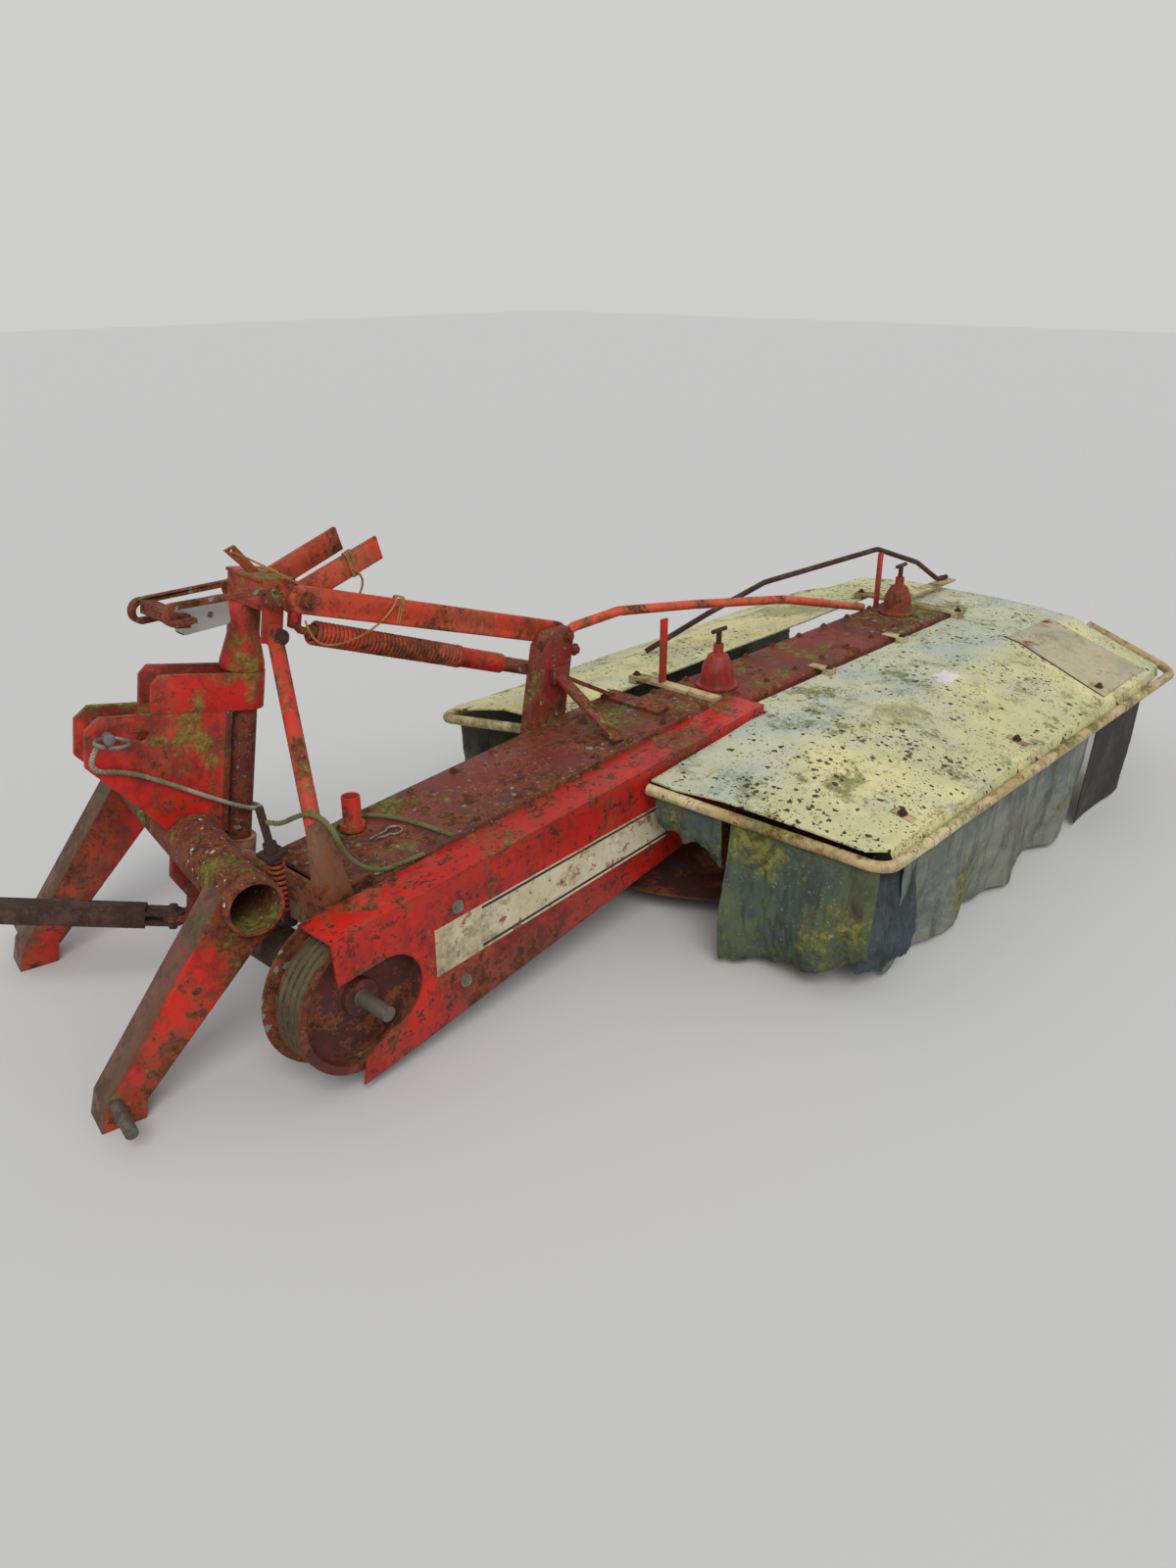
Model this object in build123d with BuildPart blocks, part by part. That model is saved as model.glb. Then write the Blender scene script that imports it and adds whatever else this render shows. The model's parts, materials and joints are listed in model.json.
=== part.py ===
"""Drum mower with two drums, parked on its gliding dishes and on the feet of its hitch frame.

Millimetres, +Z up. The origin is the underside of the inner gliding dish, on the inner
drum's axis. +X runs out along the cutter, +Y is the side that faces forward at work.
"""
from build123d import *
from math import asin, atan2, cos, degrees, hypot, pi, radians, sin, tan
import os

# Clearances
shaft_gap = 0.08
seat_gap = 0.3

# Cutter
drum_spacing = 1060.0
drum_radius = 250.0
drum_top = 360.0
drum_straight_to = 190.0
cone_radius = 420.0
cone_foot = 92.0
disc_radius = 515.0
disc_height = 60.0
disc_sheet = 6.0
drum_sheet = 5.0
knife_reach = 48.0
knife_inset = 42.0
knife_width = 45.0
knife_sheet = 4.0
knife_drop = 6.0
knife_count = 3
knife_bolt = 11.0
dish_radius = 385.0
dish_flat = 140.0
dish_rise = 24.0
dish_sheet = 8.0
dish_hub_radius = 60.0
dish_hub_top = 52.0
spindle_radius = 24.0
spindle_neck = 62.0

# Gear case and its caps
case_top = 490.0
case_bottom = 392.0
case_near = -128.0
case_near_inner = -100.0
case_step = -50.0
case_far = 118.0
case_inner = -235.0
case_outer = drum_spacing + 165.0
case_edge_radius = 14.0
case_flange = 5.0
cap_base_radius = 62.0
cap_foot_radius = 50.0
cap_waist_radius = 45.0
cap_waist_height = 62.0
cap_top_radius = 29.0
cap_neck_radius = 15.0
cap_base_height = 10.0
cap_height = 108.0
cap_neck_height = 22.0
stem_radius = 8.0
stem_height = 40.0
handle_radius = 6.5
handle_length = 62.0

# Beam
beam_inner = -1410.0
beam_box_inner = -1330.0
beam_near = -90.0
beam_far = 196.0
beam_ear_near = -60.0
beam_ear_far = 150.0
beam_ear_width = 40.0
beam_rise = 3.9
beam_top_inner = 410.0
beam_depth = 105.0
beam_plate = 8.0
pivot_tube_x = -1225.0
pivot_tube_y = 132.0
pivot_tube_radius = 22.0
pivot_tube_height = 84.0

# Belt cover
cover_front = -207.0
cover_sheet = 5.0
cover_inner = -1542.0
cover_outer = -58.0
cover_top_inner = 397.0
cover_top_outer = 499.0
cut_x = -1407.0
cut_z = 215.0
cut_radius = 88.0
back_sheet = 6.0
flange_rise = 12.0
flange_start = -1180.0

# Belt drive
shaft_x = -1461.0
shaft_z = 220.0
shaft_radius = 17.5
journal_radius = 19.5
rear_stub_radius = 17.0
shaft_near = -270.0
shaft_far = 296.0
pulley_radius = 168.0
pulley_near = -196.0
pulley_far = -116.0
pulley_rim = 20.0
pulley_web = 12.0
pulley_hub = 42.0
groove_depth = 10.0
belt_count = 4
belt_pitch = 19.0
belt_width = 13.0
belt_thick = 8.0
belt_gap = 1.0
driven_x = -120.0
driven_z = 442.0
driven_radius = 46.0
housing_radius = 50.0
housing_near = -98.0
housing_far = 196.0
plate_radius = 184.0

# Lift hinge
lift_x = -1392.0
lift_z = 338.0
lift_radius = 24.0
lift_sleeve = 38.0

# Hitch frame
hitch_turn = 12.0
hitch_lean = 9.4
tube_x = -1490.0
tube_y = 417.0
tube_z = 420.0
tube_radius = 63.0
tube_wall = 9.0
tube_near = -440.0
tube_far = 444.0
leg_spacing = 825.0
leg_thick = 86.0
leg_reach = 265.0
leg_drop = 409.0
link_pin_radius = 14.0
link_pin_length = 110.0
mast_sheet = 14.0
mast_hole_x = -114.0
mast_hole_z = 255.0
mast_hole_radius = 13.5
top_pin_x = -190.0
top_pin_z = 258.0
top_pin_radius = 12.5
top_pin_head = 22.0
ring_radius = 34.0
ring_wire = 4.5
column_back = 118.0
column_radius = 38.0
column_low = -20.0
flange_sheet = 12.0
wrap_low = 302.0
wrap_high = 388.0
wrap_wall = 14.0
stay_pin_x = -33.0
stay_pin_y = -31.0
stay_pin_z = -198.0
stay_pin_radius = 10.0
stay_length = 450.0
stay_section = 48.0
stay_wall = 5.0
stay_yaw = 143.7

# Turret
king_pin_radius = 26.0
foot_radius = 50.0
foot_low = -112.0
swivel_low_radius = 50.0
swivel_top_radius = 36.0
swivel_top = 468.0
hairpin_depth = 18.0
hairpin_bar = 12.0
hairpin_eye = 23.0
head_low = 541.0
head_high = 610.0
head_left = -18.0
head_right = 60.0
head_near = -100.0
head_far = 50.0
ear_near = -84.0
ear_sheet = 12.0
web_front = -1484.0
web_sheet = 8.0
web_low = 345.0
web_top = 460.0
web_end = 20.0
brace_radius = 18.0

# Breakaway rod beside its lug on the lift shaft
rod_y = 70.0
rod_pin = (-1452.0, 304.0)
rod_radius = 9.0

# Post, links and rods
post_far = 232.0
link_near = 234.0
link_sheet = 24.0
link_depth = 62.0
link_inner = (-1227.0, 949.0)
link_outer = (-425.0, 697.0)
link_pin = 12.5
spring_radius = 29.0
spring_tube = 20.0
tie_radius = 14.0
rail_radius = 14.5
rail_bend = 60.0
guard_sheet = 5.0
guard_end_x = 1560.0
guard_end_top = 474.0
rope_radius = 5.5
guard_top = 478.0
guard_rear_edge = -150.0
guard_front_edge = 206.0
curtain_sheet = 8.0
hem_height = 8.0

os.makedirs("parts", exist_ok=True)


def out(piece, name):
    """Label a finished piece and write it."""
    piece.part.label = name
    export_step(piece.part, f"parts/{name}.step")


def beam_z(x):
    """Height of the beam's top plate at a station along it."""
    return beam_top_inner + (x - beam_inner) * tan(radians(beam_rise))


def cover_z(x):
    """Height of the belt cover's top sheet at a station along it."""
    share = (x - cover_inner) / (cover_outer - cover_inner)
    return cover_top_inner + share * (cover_top_outer - cover_top_inner)


def placed(frame, plane):
    """A plane carried along by a frame."""
    return Plane(frame * plane.location)


def across(y):
    """An upright plane at a station y, drawn in x and z, that faces the near side."""
    return Plane.XZ.offset(-y)


def straight(start, end, radius, bore=0.0):
    """A round bar or tube between two points, added to the open part."""
    start = Vector(*start)
    run = Vector(*end) - start
    with BuildSketch(Plane(origin=start, z_dir=run)) as end_face:
        Circle(radius)
        if bore:
            Circle(bore, mode=Mode.SUBTRACT)
    extrude(end_face.sketch, amount=run.length)


def bent(points, radius, bend):
    """A round bar along straight runs with rounded corners, added to the open part."""
    with BuildLine() as path:
        FilletPolyline(*points, radius=bend)
    with BuildSketch(Plane(origin=path.line @ 0, z_dir=path.line % 0)) as end_face:
        Circle(radius)
    sweep(end_face.sketch, path=path.line)


# Drums: thin shells of revolution that hang on the case's spindles
cutters = (("inner", 0.0), ("outer", drum_spacing))
drum_hub = spindle_radius + shaft_gap
for side, x in cutters:
    with BuildPart() as flare:
        with BuildSketch(Plane(origin=(x, 0, 0), x_dir=(1, 0, 0), z_dir=(0, -1, 0))):
            with BuildLine():
                Polyline(
                    (drum_radius, drum_straight_to),
                    (cone_radius, cone_foot),
                    (disc_radius, disc_height + disc_sheet),
                    (disc_radius, disc_height),
                    (cone_radius - 60, disc_height),
                    (cone_radius - 60, disc_height + disc_sheet),
                    (cone_radius - drum_sheet, cone_foot - drum_sheet),
                    (drum_radius - drum_sheet, drum_straight_to - drum_sheet),
                    (drum_radius - drum_sheet, drum_straight_to),
                    close=True,
                )
            make_face()
        revolve(axis=Axis((x, 0, 0), (0, 0, 1)))
    out(flare, f"flare_{side}")

    with BuildPart() as drum:
        with BuildSketch(Plane(origin=(x, 0, 0), x_dir=(1, 0, 0), z_dir=(0, -1, 0))):
            with BuildLine():
                Polyline(
                    (drum_hub, drum_top),
                    (drum_radius - 20, drum_top),
                    (drum_radius, drum_top - 20),
                    (drum_radius, drum_straight_to),
                    (drum_radius - drum_sheet, drum_straight_to),
                    (drum_radius - drum_sheet, drum_top - 22),
                    (drum_radius - 22, drum_top - drum_sheet),
                    (drum_hub + 16, drum_top - drum_sheet),
                    (drum_hub + 16, drum_top - 60),
                    (drum_hub, drum_top - 60),
                    close=True,
                )
            make_face()
        revolve(axis=Axis((x, 0, 0), (0, 0, 1)))
    out(drum, f"drum_{side}")

    with BuildPart() as knives:
        reach = knife_reach + knife_inset
        with BuildSketch(Plane(origin=(x, 0, disc_height - knife_drop - knife_sheet))):
            with PolarLocations(disc_radius - knife_inset, knife_count):
                with Locations(((reach - knife_width / 2) / 2, 0)):
                    Rectangle(reach + knife_width / 2, knife_width)
        extrude(amount=knife_sheet)
        with BuildSketch(Plane(origin=(x, 0, disc_height - 2 * knife_drop - knife_sheet))):
            with PolarLocations(disc_radius - knife_inset, knife_count):
                Circle(knife_bolt)
        extrude(amount=2 * knife_drop + knife_sheet)
    out(knives, f"knives_{side}")

    with BuildPart() as dish:
        with BuildSketch(Plane(origin=(x, 0, 0), x_dir=(1, 0, 0), z_dir=(0, -1, 0))):
            with BuildLine():
                Polyline(
                    (0, 0),
                    (dish_flat, 0),
                    (dish_radius - 12, dish_rise),
                    (dish_radius, dish_rise + 10),
                    (dish_radius - 6, dish_rise + 14),
                    (dish_flat, dish_sheet),
                    (dish_hub_radius, dish_sheet),
                    (dish_hub_radius, dish_hub_top),
                    (0, dish_hub_top),
                    close=True,
                )
            make_face()
        revolve(axis=Axis((x, 0, 0), (0, 0, 1)))
    out(dish, f"dish_{side}")

case_underside = case_bottom - case_flange
with BuildPart() as spindles:
    spindle_low = dish_hub_top + seat_gap
    neck_low = drum_top + 6
    for side, x in cutters:
        with BuildSketch(Plane(origin=(x, 0, spindle_low))):
            Circle(spindle_radius)
        extrude(amount=case_underside - spindle_low)
        with BuildSketch(Plane(origin=(x, 0, neck_low))):
            Circle(spindle_neck)
        extrude(amount=case_underside - neck_low)
out(spindles, "drum_spindles")

# Gear case with rolled edges, narrower where the belts come in
with BuildPart() as case:
    for x0, x1, near in ((case_inner, case_step, case_near_inner), (case_step, case_outer, case_near)):
        with BuildSketch(Plane.YZ.offset(x0)):
            with Locations(((near + case_far) / 2, (case_top + case_bottom) / 2)):
                RectangleRounded(case_far - near, case_top - case_bottom, case_edge_radius)
        extrude(amount=x1 - x0)
    for side, x in cutters:
        with BuildSketch(Plane(origin=(x, 0, case_underside))):
            Circle(-case_near_inner - case_flange)
        extrude(amount=case_flange)
out(case, "gear_case")

with BuildPart() as caps:
    for side, x in cutters:
        with BuildSketch(Plane(origin=(x, 0, case_top), x_dir=(1, 0, 0), z_dir=(0, -1, 0))):
            with BuildLine():
                Polyline(
                    (0, 0),
                    (cap_base_radius, 0),
                    (cap_base_radius, cap_base_height),
                    (cap_foot_radius, cap_base_height),
                    (cap_waist_radius, cap_waist_height),
                    (cap_top_radius, cap_height - 12),
                    (cap_neck_radius, cap_height - 4),
                    (cap_neck_radius, cap_height + cap_neck_height),
                    (0, cap_height + cap_neck_height),
                    close=True,
                )
            make_face()
        revolve(axis=Axis((x, 0, 0), (0, 0, 1)))
out(caps, "adjuster_caps")

with BuildPart() as handles:
    stem_low = case_top + cap_height + cap_neck_height
    for side, x in cutters:
        straight((x, 0, stem_low), (x, 0, stem_low + stem_height), stem_radius)
        grip_z = stem_low + stem_height
        straight((x - handle_length / 2, 0, grip_z), (x + handle_length / 2, 0, grip_z), handle_radius)
out(handles, "adjuster_handles")

# Beam: a box girder that rises towards the gear case, forked at its inner end
with BuildPart() as beam:
    with BuildSketch(across(beam_far)):
        with BuildLine():
            Polyline(
                (beam_box_inner, beam_z(beam_box_inner)),
                (case_inner, beam_z(case_inner)),
                (case_inner, beam_z(case_inner) - beam_depth),
                (beam_box_inner, beam_z(beam_box_inner) - beam_depth),
                close=True,
            )
        make_face()
    extrude(amount=beam_far - beam_near)
    with BuildSketch(across(beam_far)):
        with BuildLine():
            Polyline(
                (beam_inner, beam_z(beam_inner)),
                (beam_box_inner, beam_z(beam_box_inner)),
                (beam_box_inner, beam_z(beam_box_inner) - beam_plate),
                (beam_inner, beam_z(beam_inner) - beam_plate),
                close=True,
            )
        make_face()
    extrude(amount=beam_far - beam_ear_near)
    for far in (beam_ear_near + beam_ear_width, beam_far):
        with BuildSketch(across(far)):
            with BuildSketch(mode=Mode.PRIVATE) as ear:
                with Locations((lift_x, lift_z)):
                    Circle(lift_sleeve)
                with Locations((beam_box_inner - 1, beam_z(beam_box_inner) - beam_depth / 2)):
                    Rectangle(2, beam_depth)
                make_hull()
            add(ear.sketch)
        extrude(amount=beam_ear_width if far < beam_far else beam_far - beam_ear_far)
    with BuildSketch(across(beam_far)):
        with Locations((lift_x, lift_z)):
            Circle(lift_radius + shaft_gap)
    extrude(amount=beam_far - beam_near, mode=Mode.SUBTRACT)
out(beam, "beam")

with BuildPart() as pivot_tube:
    foot = beam_z(pivot_tube_x + pivot_tube_radius + 8) + seat_gap
    with BuildSketch(Plane(origin=(pivot_tube_x, pivot_tube_y, foot))):
        Circle(pivot_tube_radius)
        Circle(pivot_tube_radius - 5, mode=Mode.SUBTRACT)
    extrude(amount=pivot_tube_height)
    with BuildSketch(Plane(origin=(pivot_tube_x, pivot_tube_y, foot))):
        Circle(pivot_tube_radius + 8)
        Circle(pivot_tube_radius - 5, mode=Mode.SUBTRACT)
    extrude(amount=16)
out(pivot_tube, "pivot_tube")

# Belt cover: front sheet with its cut-out for the pulley, and top sheet
with BuildPart() as cover:
    with BuildSketch(across(cover_front)):
        with BuildLine():
            Polyline(
                (cover_inner, cover_top_inner),
                (cover_outer, cover_top_outer),
                (cover_outer, case_bottom - 7),
                (-235, 375),
                (-290, 210),
                (-575, 166),
                (-1357, 43),
                (-1491, 26),
                (-1479, 88),
                (-1534, 287),
                close=True,
            )
        make_face()
        with Locations((cut_x, cut_z)):
            Circle(cut_radius, mode=Mode.SUBTRACT)
        with BuildLine():
            Polyline(
                (-1600, 286),
                (cut_x, cut_z + cut_radius),
                (cut_x, cut_z - cut_radius),
                (-1479, 88),
                (-1600, 60),
                close=True,
            )
        make_face(mode=Mode.SUBTRACT)
    extrude(amount=-cover_sheet)
    with BuildSketch(across(cover_front)):
        with BuildLine():
            Polyline(
                (cover_inner, cover_top_inner),
                (cover_outer, cover_top_outer),
                (cover_outer, cover_top_outer - cover_sheet),
                (cover_inner, cover_top_inner - cover_sheet),
                close=True,
            )
        make_face()
    extrude(amount=-(beam_near - back_sheet - cover_front))
    with Locations((case_inner / 2 - 2, case_near_inner - seat_gap, cover_top_outer)):
        Box(-case_inner, 20, 60, align=(Align.CENTER, Align.MIN, Align.CENTER), mode=Mode.SUBTRACT)
out(cover, "belt_cover")

# Drive shaft and its pulley
belt_stations = [
    (pulley_near + pulley_far) / 2 + (i - (belt_count - 1) / 2) * belt_pitch for i in range(belt_count)
]
with BuildPart() as pulley:
    rim_profile = [(pulley_near, pulley_radius - pulley_rim), (pulley_near, pulley_radius)]
    for y in belt_stations:
        half_groove = belt_width / 2 + belt_gap
        rim_profile += [
            (y - half_groove, pulley_radius),
            (y - half_groove, pulley_radius - groove_depth),
            (y + half_groove, pulley_radius - groove_depth),
            (y + half_groove, pulley_radius),
        ]
    web_middle = (pulley_near + pulley_far) / 2
    rim_profile += [
        (pulley_far, pulley_radius),
        (pulley_far, pulley_radius - pulley_rim),
        (web_middle + pulley_web / 2, pulley_radius - pulley_rim),
        (web_middle + pulley_web / 2, pulley_hub),
        (pulley_far, pulley_hub),
        (pulley_far, journal_radius),
        (pulley_near + 14, journal_radius),
        (pulley_near + 14, pulley_hub),
        (web_middle - pulley_web / 2, pulley_hub),
        (web_middle - pulley_web / 2, pulley_radius - pulley_rim),
    ]
    with BuildSketch(Plane(origin=(shaft_x, 0, shaft_z), x_dir=(0, 1, 0), z_dir=(1, 0, 0))):
        with BuildLine():
            Polyline(*rim_profile, close=True)
        make_face()
    revolve(axis=Axis((shaft_x, 0, shaft_z), (0, 1, 0)))
out(pulley, "drive_pulley")

with BuildPart() as shaft:
    for start, end, radius in (
        (shaft_near, pulley_near + 14, rear_stub_radius),
        (pulley_near + 14, housing_far, journal_radius),
        (housing_far, shaft_far, shaft_radius),
    ):
        straight((shaft_x, start, shaft_z), (shaft_x, end, shaft_z), radius)
out(shaft, "drive_shaft")

with BuildPart() as housing:
    straight(
        (shaft_x, housing_near, shaft_z),
        (shaft_x, housing_far, shaft_z),
        housing_radius,
        journal_radius + shaft_gap,
    )
    for y in (beam_ear_near, beam_far - 12):
        with BuildSketch(across(y + 12)):
            with BuildLine():
                Polyline(
                    (shaft_x + housing_radius - 4, shaft_z - 20),
                    (beam_box_inner + 90, beam_z(beam_box_inner + 90) - beam_depth),
                    (beam_box_inner, beam_z(beam_box_inner) - beam_depth),
                    (shaft_x + housing_radius - 4, shaft_z + 20),
                    close=True,
                )
            make_face()
        extrude(amount=12)
out(housing, "shaft_housing")

with BuildPart() as back:
    with BuildSketch(across(beam_near)):
        with BuildLine():
            Polyline(
                (shaft_x, shaft_z + plate_radius),
                (shaft_x, cover_z(shaft_x) - cover_sheet),
                (flange_start, cover_z(flange_start) - cover_sheet),
                (flange_start + flange_rise, cover_z(flange_start) + flange_rise),
                (case_inner, cover_z(case_inner) + flange_rise),
                (case_inner, 375),
                (-290, 215),
                (-575, 171),
                (-1357, 48),
                (shaft_x, shaft_z - plate_radius),
                close=True,
            )
        make_face()
        with Locations((shaft_x, shaft_z)):
            Circle(plate_radius)
            Circle(housing_radius + seat_gap, mode=Mode.SUBTRACT)
        with BuildLine():
            Polyline(
                (cover_inner - 200, cover_z(cover_inner - 200) + flange_rise),
                (cover_outer, cover_z(cover_outer) + flange_rise),
                (cover_outer, 900),
                (cover_inner - 200, 900),
                close=True,
            )
        make_face(mode=Mode.SUBTRACT)
    extrude(amount=back_sheet)
out(back, "belt_back_sheet")

# Belts run round both pulleys
with BuildPart() as belts:
    drive_line = pulley_radius - groove_depth + belt_gap
    driven_line = driven_radius - belt_thick
    for y in belt_stations:
        with BuildSketch(across(y + belt_width / 2)):
            for extra, mode in ((belt_thick, Mode.ADD), (0, Mode.SUBTRACT)):
                with BuildSketch(mode=Mode.PRIVATE) as loop:
                    with Locations((shaft_x, shaft_z)):
                        Circle(drive_line + extra)
                    with Locations((driven_x, driven_z)):
                        Circle(driven_line + extra)
                    make_hull()
                add(loop.sketch, mode=mode)
        extrude(amount=belt_width)
out(belts, "drive_belts")

with BuildPart() as driven:
    straight(
        (driven_x, pulley_near, driven_z),
        (driven_x, pulley_far, driven_z),
        driven_radius - belt_thick - belt_gap,
    )
    straight((driven_x, pulley_far, driven_z), (driven_x, case_near_inner - seat_gap, driven_z), 20)
out(driven, "driven_pulley")

# Hitch frame: drawn upright in its own frame, then leaned and turned as it is parked
hitch = Pos(tube_x, tube_y, tube_z) * Rot(0, 0, -hitch_turn) * Rot(0, hitch_lean, 0)
leg_face = leg_spacing / 2


def hitch_across(y):
    """An upright plane of the hitch frame at its own station y."""
    return placed(hitch, across(y))


def hitch_flat(x, y, z):
    """A level plane of the hitch frame at a point of its own."""
    return placed(hitch, Plane(origin=(x, y, z)))


with BuildPart() as cross_tube:
    with BuildSketch(hitch_across(tube_far)):
        Circle(tube_radius)
        Circle(tube_radius - tube_wall, mode=Mode.SUBTRACT)
    extrude(amount=tube_far - tube_near)
out(cross_tube, "cross_tube")

with BuildPart() as legs:
    for y in (leg_thick - leg_face, leg_face):
        with BuildSketch(hitch_across(y)):
            with BuildLine():
                Polyline(
                    (0, 0),
                    (tube_radius - 13, -38),
                    (tube_radius - 3, -66),
                    (17, -102),
                    (-leg_reach + 64, -leg_drop - 5),
                    (-leg_reach + 59, -leg_drop - 130),
                    (-leg_reach - 34, -leg_drop - 130),
                    (-leg_reach - 22, -leg_drop - 6),
                    (-tube_radius - 10, 5),
                    (-tube_radius + 5, 24),
                    close=True,
                )
            make_face()
            Circle(tube_radius, mode=Mode.SUBTRACT)
        extrude(amount=leg_thick)
    split(bisect_by=Plane.XY, keep=Keep.TOP)
out(legs, "hitch_legs")

with BuildPart() as link_pins:
    for y in (-leg_face, leg_face + link_pin_length):
        with BuildSketch(hitch_across(y)):
            with Locations((-leg_reach, -leg_drop)):
                Circle(link_pin_radius)
        extrude(amount=link_pin_length)
out(link_pins, "lower_link_pins")

with BuildPart() as mast:
    for y in (-column_radius, column_radius + mast_sheet):
        with BuildSketch(hitch_across(y)):
            with BuildLine():
                Polyline(
                    (column_back - column_radius - flange_sheet, wrap_low),
                    (-98, wrap_low),
                    (-205, 300),
                    (-233, 272),
                    (-233, 190),
                    (-93, 62),
                    (-50, 20),
                    (column_back - column_radius - flange_sheet, 12),
                    close=True,
                )
            make_face()
            Circle(tube_radius, mode=Mode.SUBTRACT)
            with Locations((mast_hole_x, mast_hole_z)):
                Circle(mast_hole_radius, mode=Mode.SUBTRACT)
            with Locations((top_pin_x, top_pin_z)):
                Circle(top_pin_radius + shaft_gap, mode=Mode.SUBTRACT)
        extrude(amount=mast_sheet)
out(mast, "mast_plates")

with BuildPart() as clamp:
    wrap_outer = column_radius + wrap_wall
    with BuildSketch(hitch_flat(0, 0, wrap_low)):
        with Locations((column_back, 0)):
            Circle(wrap_outer)
        with Locations(((column_back - 98) / 2, 0)):
            Rectangle(column_back + 98, 2 * wrap_outer)
        with Locations((column_back, 0)):
            Circle(column_radius, mode=Mode.SUBTRACT)
        with Locations(((column_back - 98) / 2 - wrap_wall, 0)):
            Rectangle(column_back + 98, 2 * column_radius, mode=Mode.SUBTRACT)
    extrude(amount=wrap_high - wrap_low)
    with BuildSketch(hitch_across(wrap_outer)):
        with BuildLine():
            Polyline(
                (-99, wrap_high - 22),
                (-99, wrap_high + 1),
                (-80, wrap_high + 1),
                close=True,
            )
        make_face()
    extrude(amount=2 * wrap_outer, mode=Mode.SUBTRACT)
out(clamp, "column_clamp")

with BuildPart() as column:
    with BuildSketch(hitch_flat(column_back, 0, column_low)):
        Circle(column_radius)
    extrude(amount=wrap_high - column_low)
    with BuildSketch(hitch_flat(column_back - column_radius - flange_sheet / 2, 0, 12)):
        Rectangle(flange_sheet + 4, 2 * wrap_outer)
    extrude(amount=wrap_low - 12)
    with BuildSketch(hitch_flat(column_back, 0, column_low)):
        Circle(king_pin_radius + shaft_gap)
    extrude(amount=wrap_high - column_low, mode=Mode.SUBTRACT)
    with BuildSketch(hitch_across(wrap_outer)):
        with Locations((column_back - column_radius - flange_sheet - 1, wrap_low / 2)):
            Rectangle(2, 2 * wrap_low)
    extrude(amount=2 * wrap_outer, mode=Mode.SUBTRACT)
out(column, "column")

with BuildPart() as top_pin:
    pin_half = column_radius + mast_sheet + top_pin_head
    with BuildSketch(hitch_across(pin_half)):
        with Locations((top_pin_x, top_pin_z)):
            Circle(top_pin_radius)
    extrude(amount=2 * pin_half)
    ring_y = -pin_half - ring_radius + 14
    ring_middle = hitch_flat(top_pin_x, ring_y, top_pin_z)
    with BuildSketch(hitch_across(ring_y)):
        with Locations((top_pin_x + ring_radius, top_pin_z)):
            Circle(ring_wire)
    revolve(axis=Axis(ring_middle.origin, ring_middle.z_dir))
out(top_pin, "top_link_pin")

with BuildPart() as stay_bracket:
    with BuildSketch(hitch_across(stay_pin_y + 12)):
        with BuildLine():
            Polyline(
                (-42, 0),
                (30, 0),
                (30, stay_pin_z - 8),
                (0, stay_pin_z - 8),
                (0, stay_pin_z + 45),
                (-42, stay_pin_z + 100),
                close=True,
            )
        make_face()
        Circle(tube_radius, mode=Mode.SUBTRACT)
    extrude(amount=24)
    with BuildSketch(hitch_flat(stay_pin_x, stay_pin_y, stay_pin_z - 8)):
        with BuildSketch(mode=Mode.PRIVATE) as tongue:
            Circle(24)
            with Locations((45, 0)):
                Rectangle(10, 48)
            make_hull()
        add(tongue.sketch)
        Circle(stay_pin_radius + shaft_gap, mode=Mode.SUBTRACT)
    extrude(amount=16)
out(stay_bracket, "stay_bracket")

# Stay bar: a square tube with a yoke on the bracket's tongue
stay = hitch * Pos(stay_pin_x, stay_pin_y, stay_pin_z) * Rot(0, 0, stay_yaw + hitch_turn)
with BuildPart() as stay_bar:
    for z in (-8 - seat_gap - 8, 8 + seat_gap):
        with BuildSketch(placed(stay, Plane(origin=(0, 0, z)))):
            with Locations((70 - stay_section / 2, 0)):
                SlotOverall(140, stay_section)
            Circle(stay_pin_radius, mode=Mode.SUBTRACT)
        extrude(amount=8)
    with BuildSketch(placed(stay, Plane(origin=(0, 0, -30)))):
        Circle(stay_pin_radius)
    extrude(amount=60)
    with BuildSketch(placed(stay, Plane.YZ.offset(60))):
        RectangleRounded(stay_section, stay_section, 4)
    extrude(amount=stay_length - 60)
    with BuildSketch(placed(stay, Plane.YZ.offset(120))):
        Rectangle(stay_section - 2 * stay_wall, stay_section - 2 * stay_wall)
    extrude(amount=stay_length, mode=Mode.SUBTRACT)
out(stay_bar, "stay_bar")

# Turret: swings on the column, in line with the beam as parked
turret = hitch * Pos(column_back, 0, 0) * Rot(0, 0, hitch_turn)


def turret_across(y):
    """An upright plane of the turret at its own station y."""
    return placed(turret, across(y))


def turret_flat(x, y, z):
    """A level plane of the turret at a point of its own."""
    return placed(turret, Plane(origin=(x, y, z)))


with BuildPart() as king_pin:
    with BuildSketch(turret_flat(0, 0, column_low)):
        Circle(king_pin_radius)
    extrude(amount=head_low - column_low)
    with BuildSketch(placed(turret, Plane.XZ)):
        with BuildLine():
            Polyline(
                (king_pin_radius - 2, wrap_high + seat_gap),
                (swivel_low_radius, wrap_high + seat_gap),
                (swivel_low_radius, wrap_high + 16),
                (swivel_top_radius, swivel_top),
                (swivel_top_radius, head_low),
                (king_pin_radius - 2, head_low),
                close=True,
            )
        make_face()
    revolve(axis=Axis(turret_flat(0, 0, 0).origin, turret_flat(0, 0, 0).z_dir))
out(king_pin, "king_pin")

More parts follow.
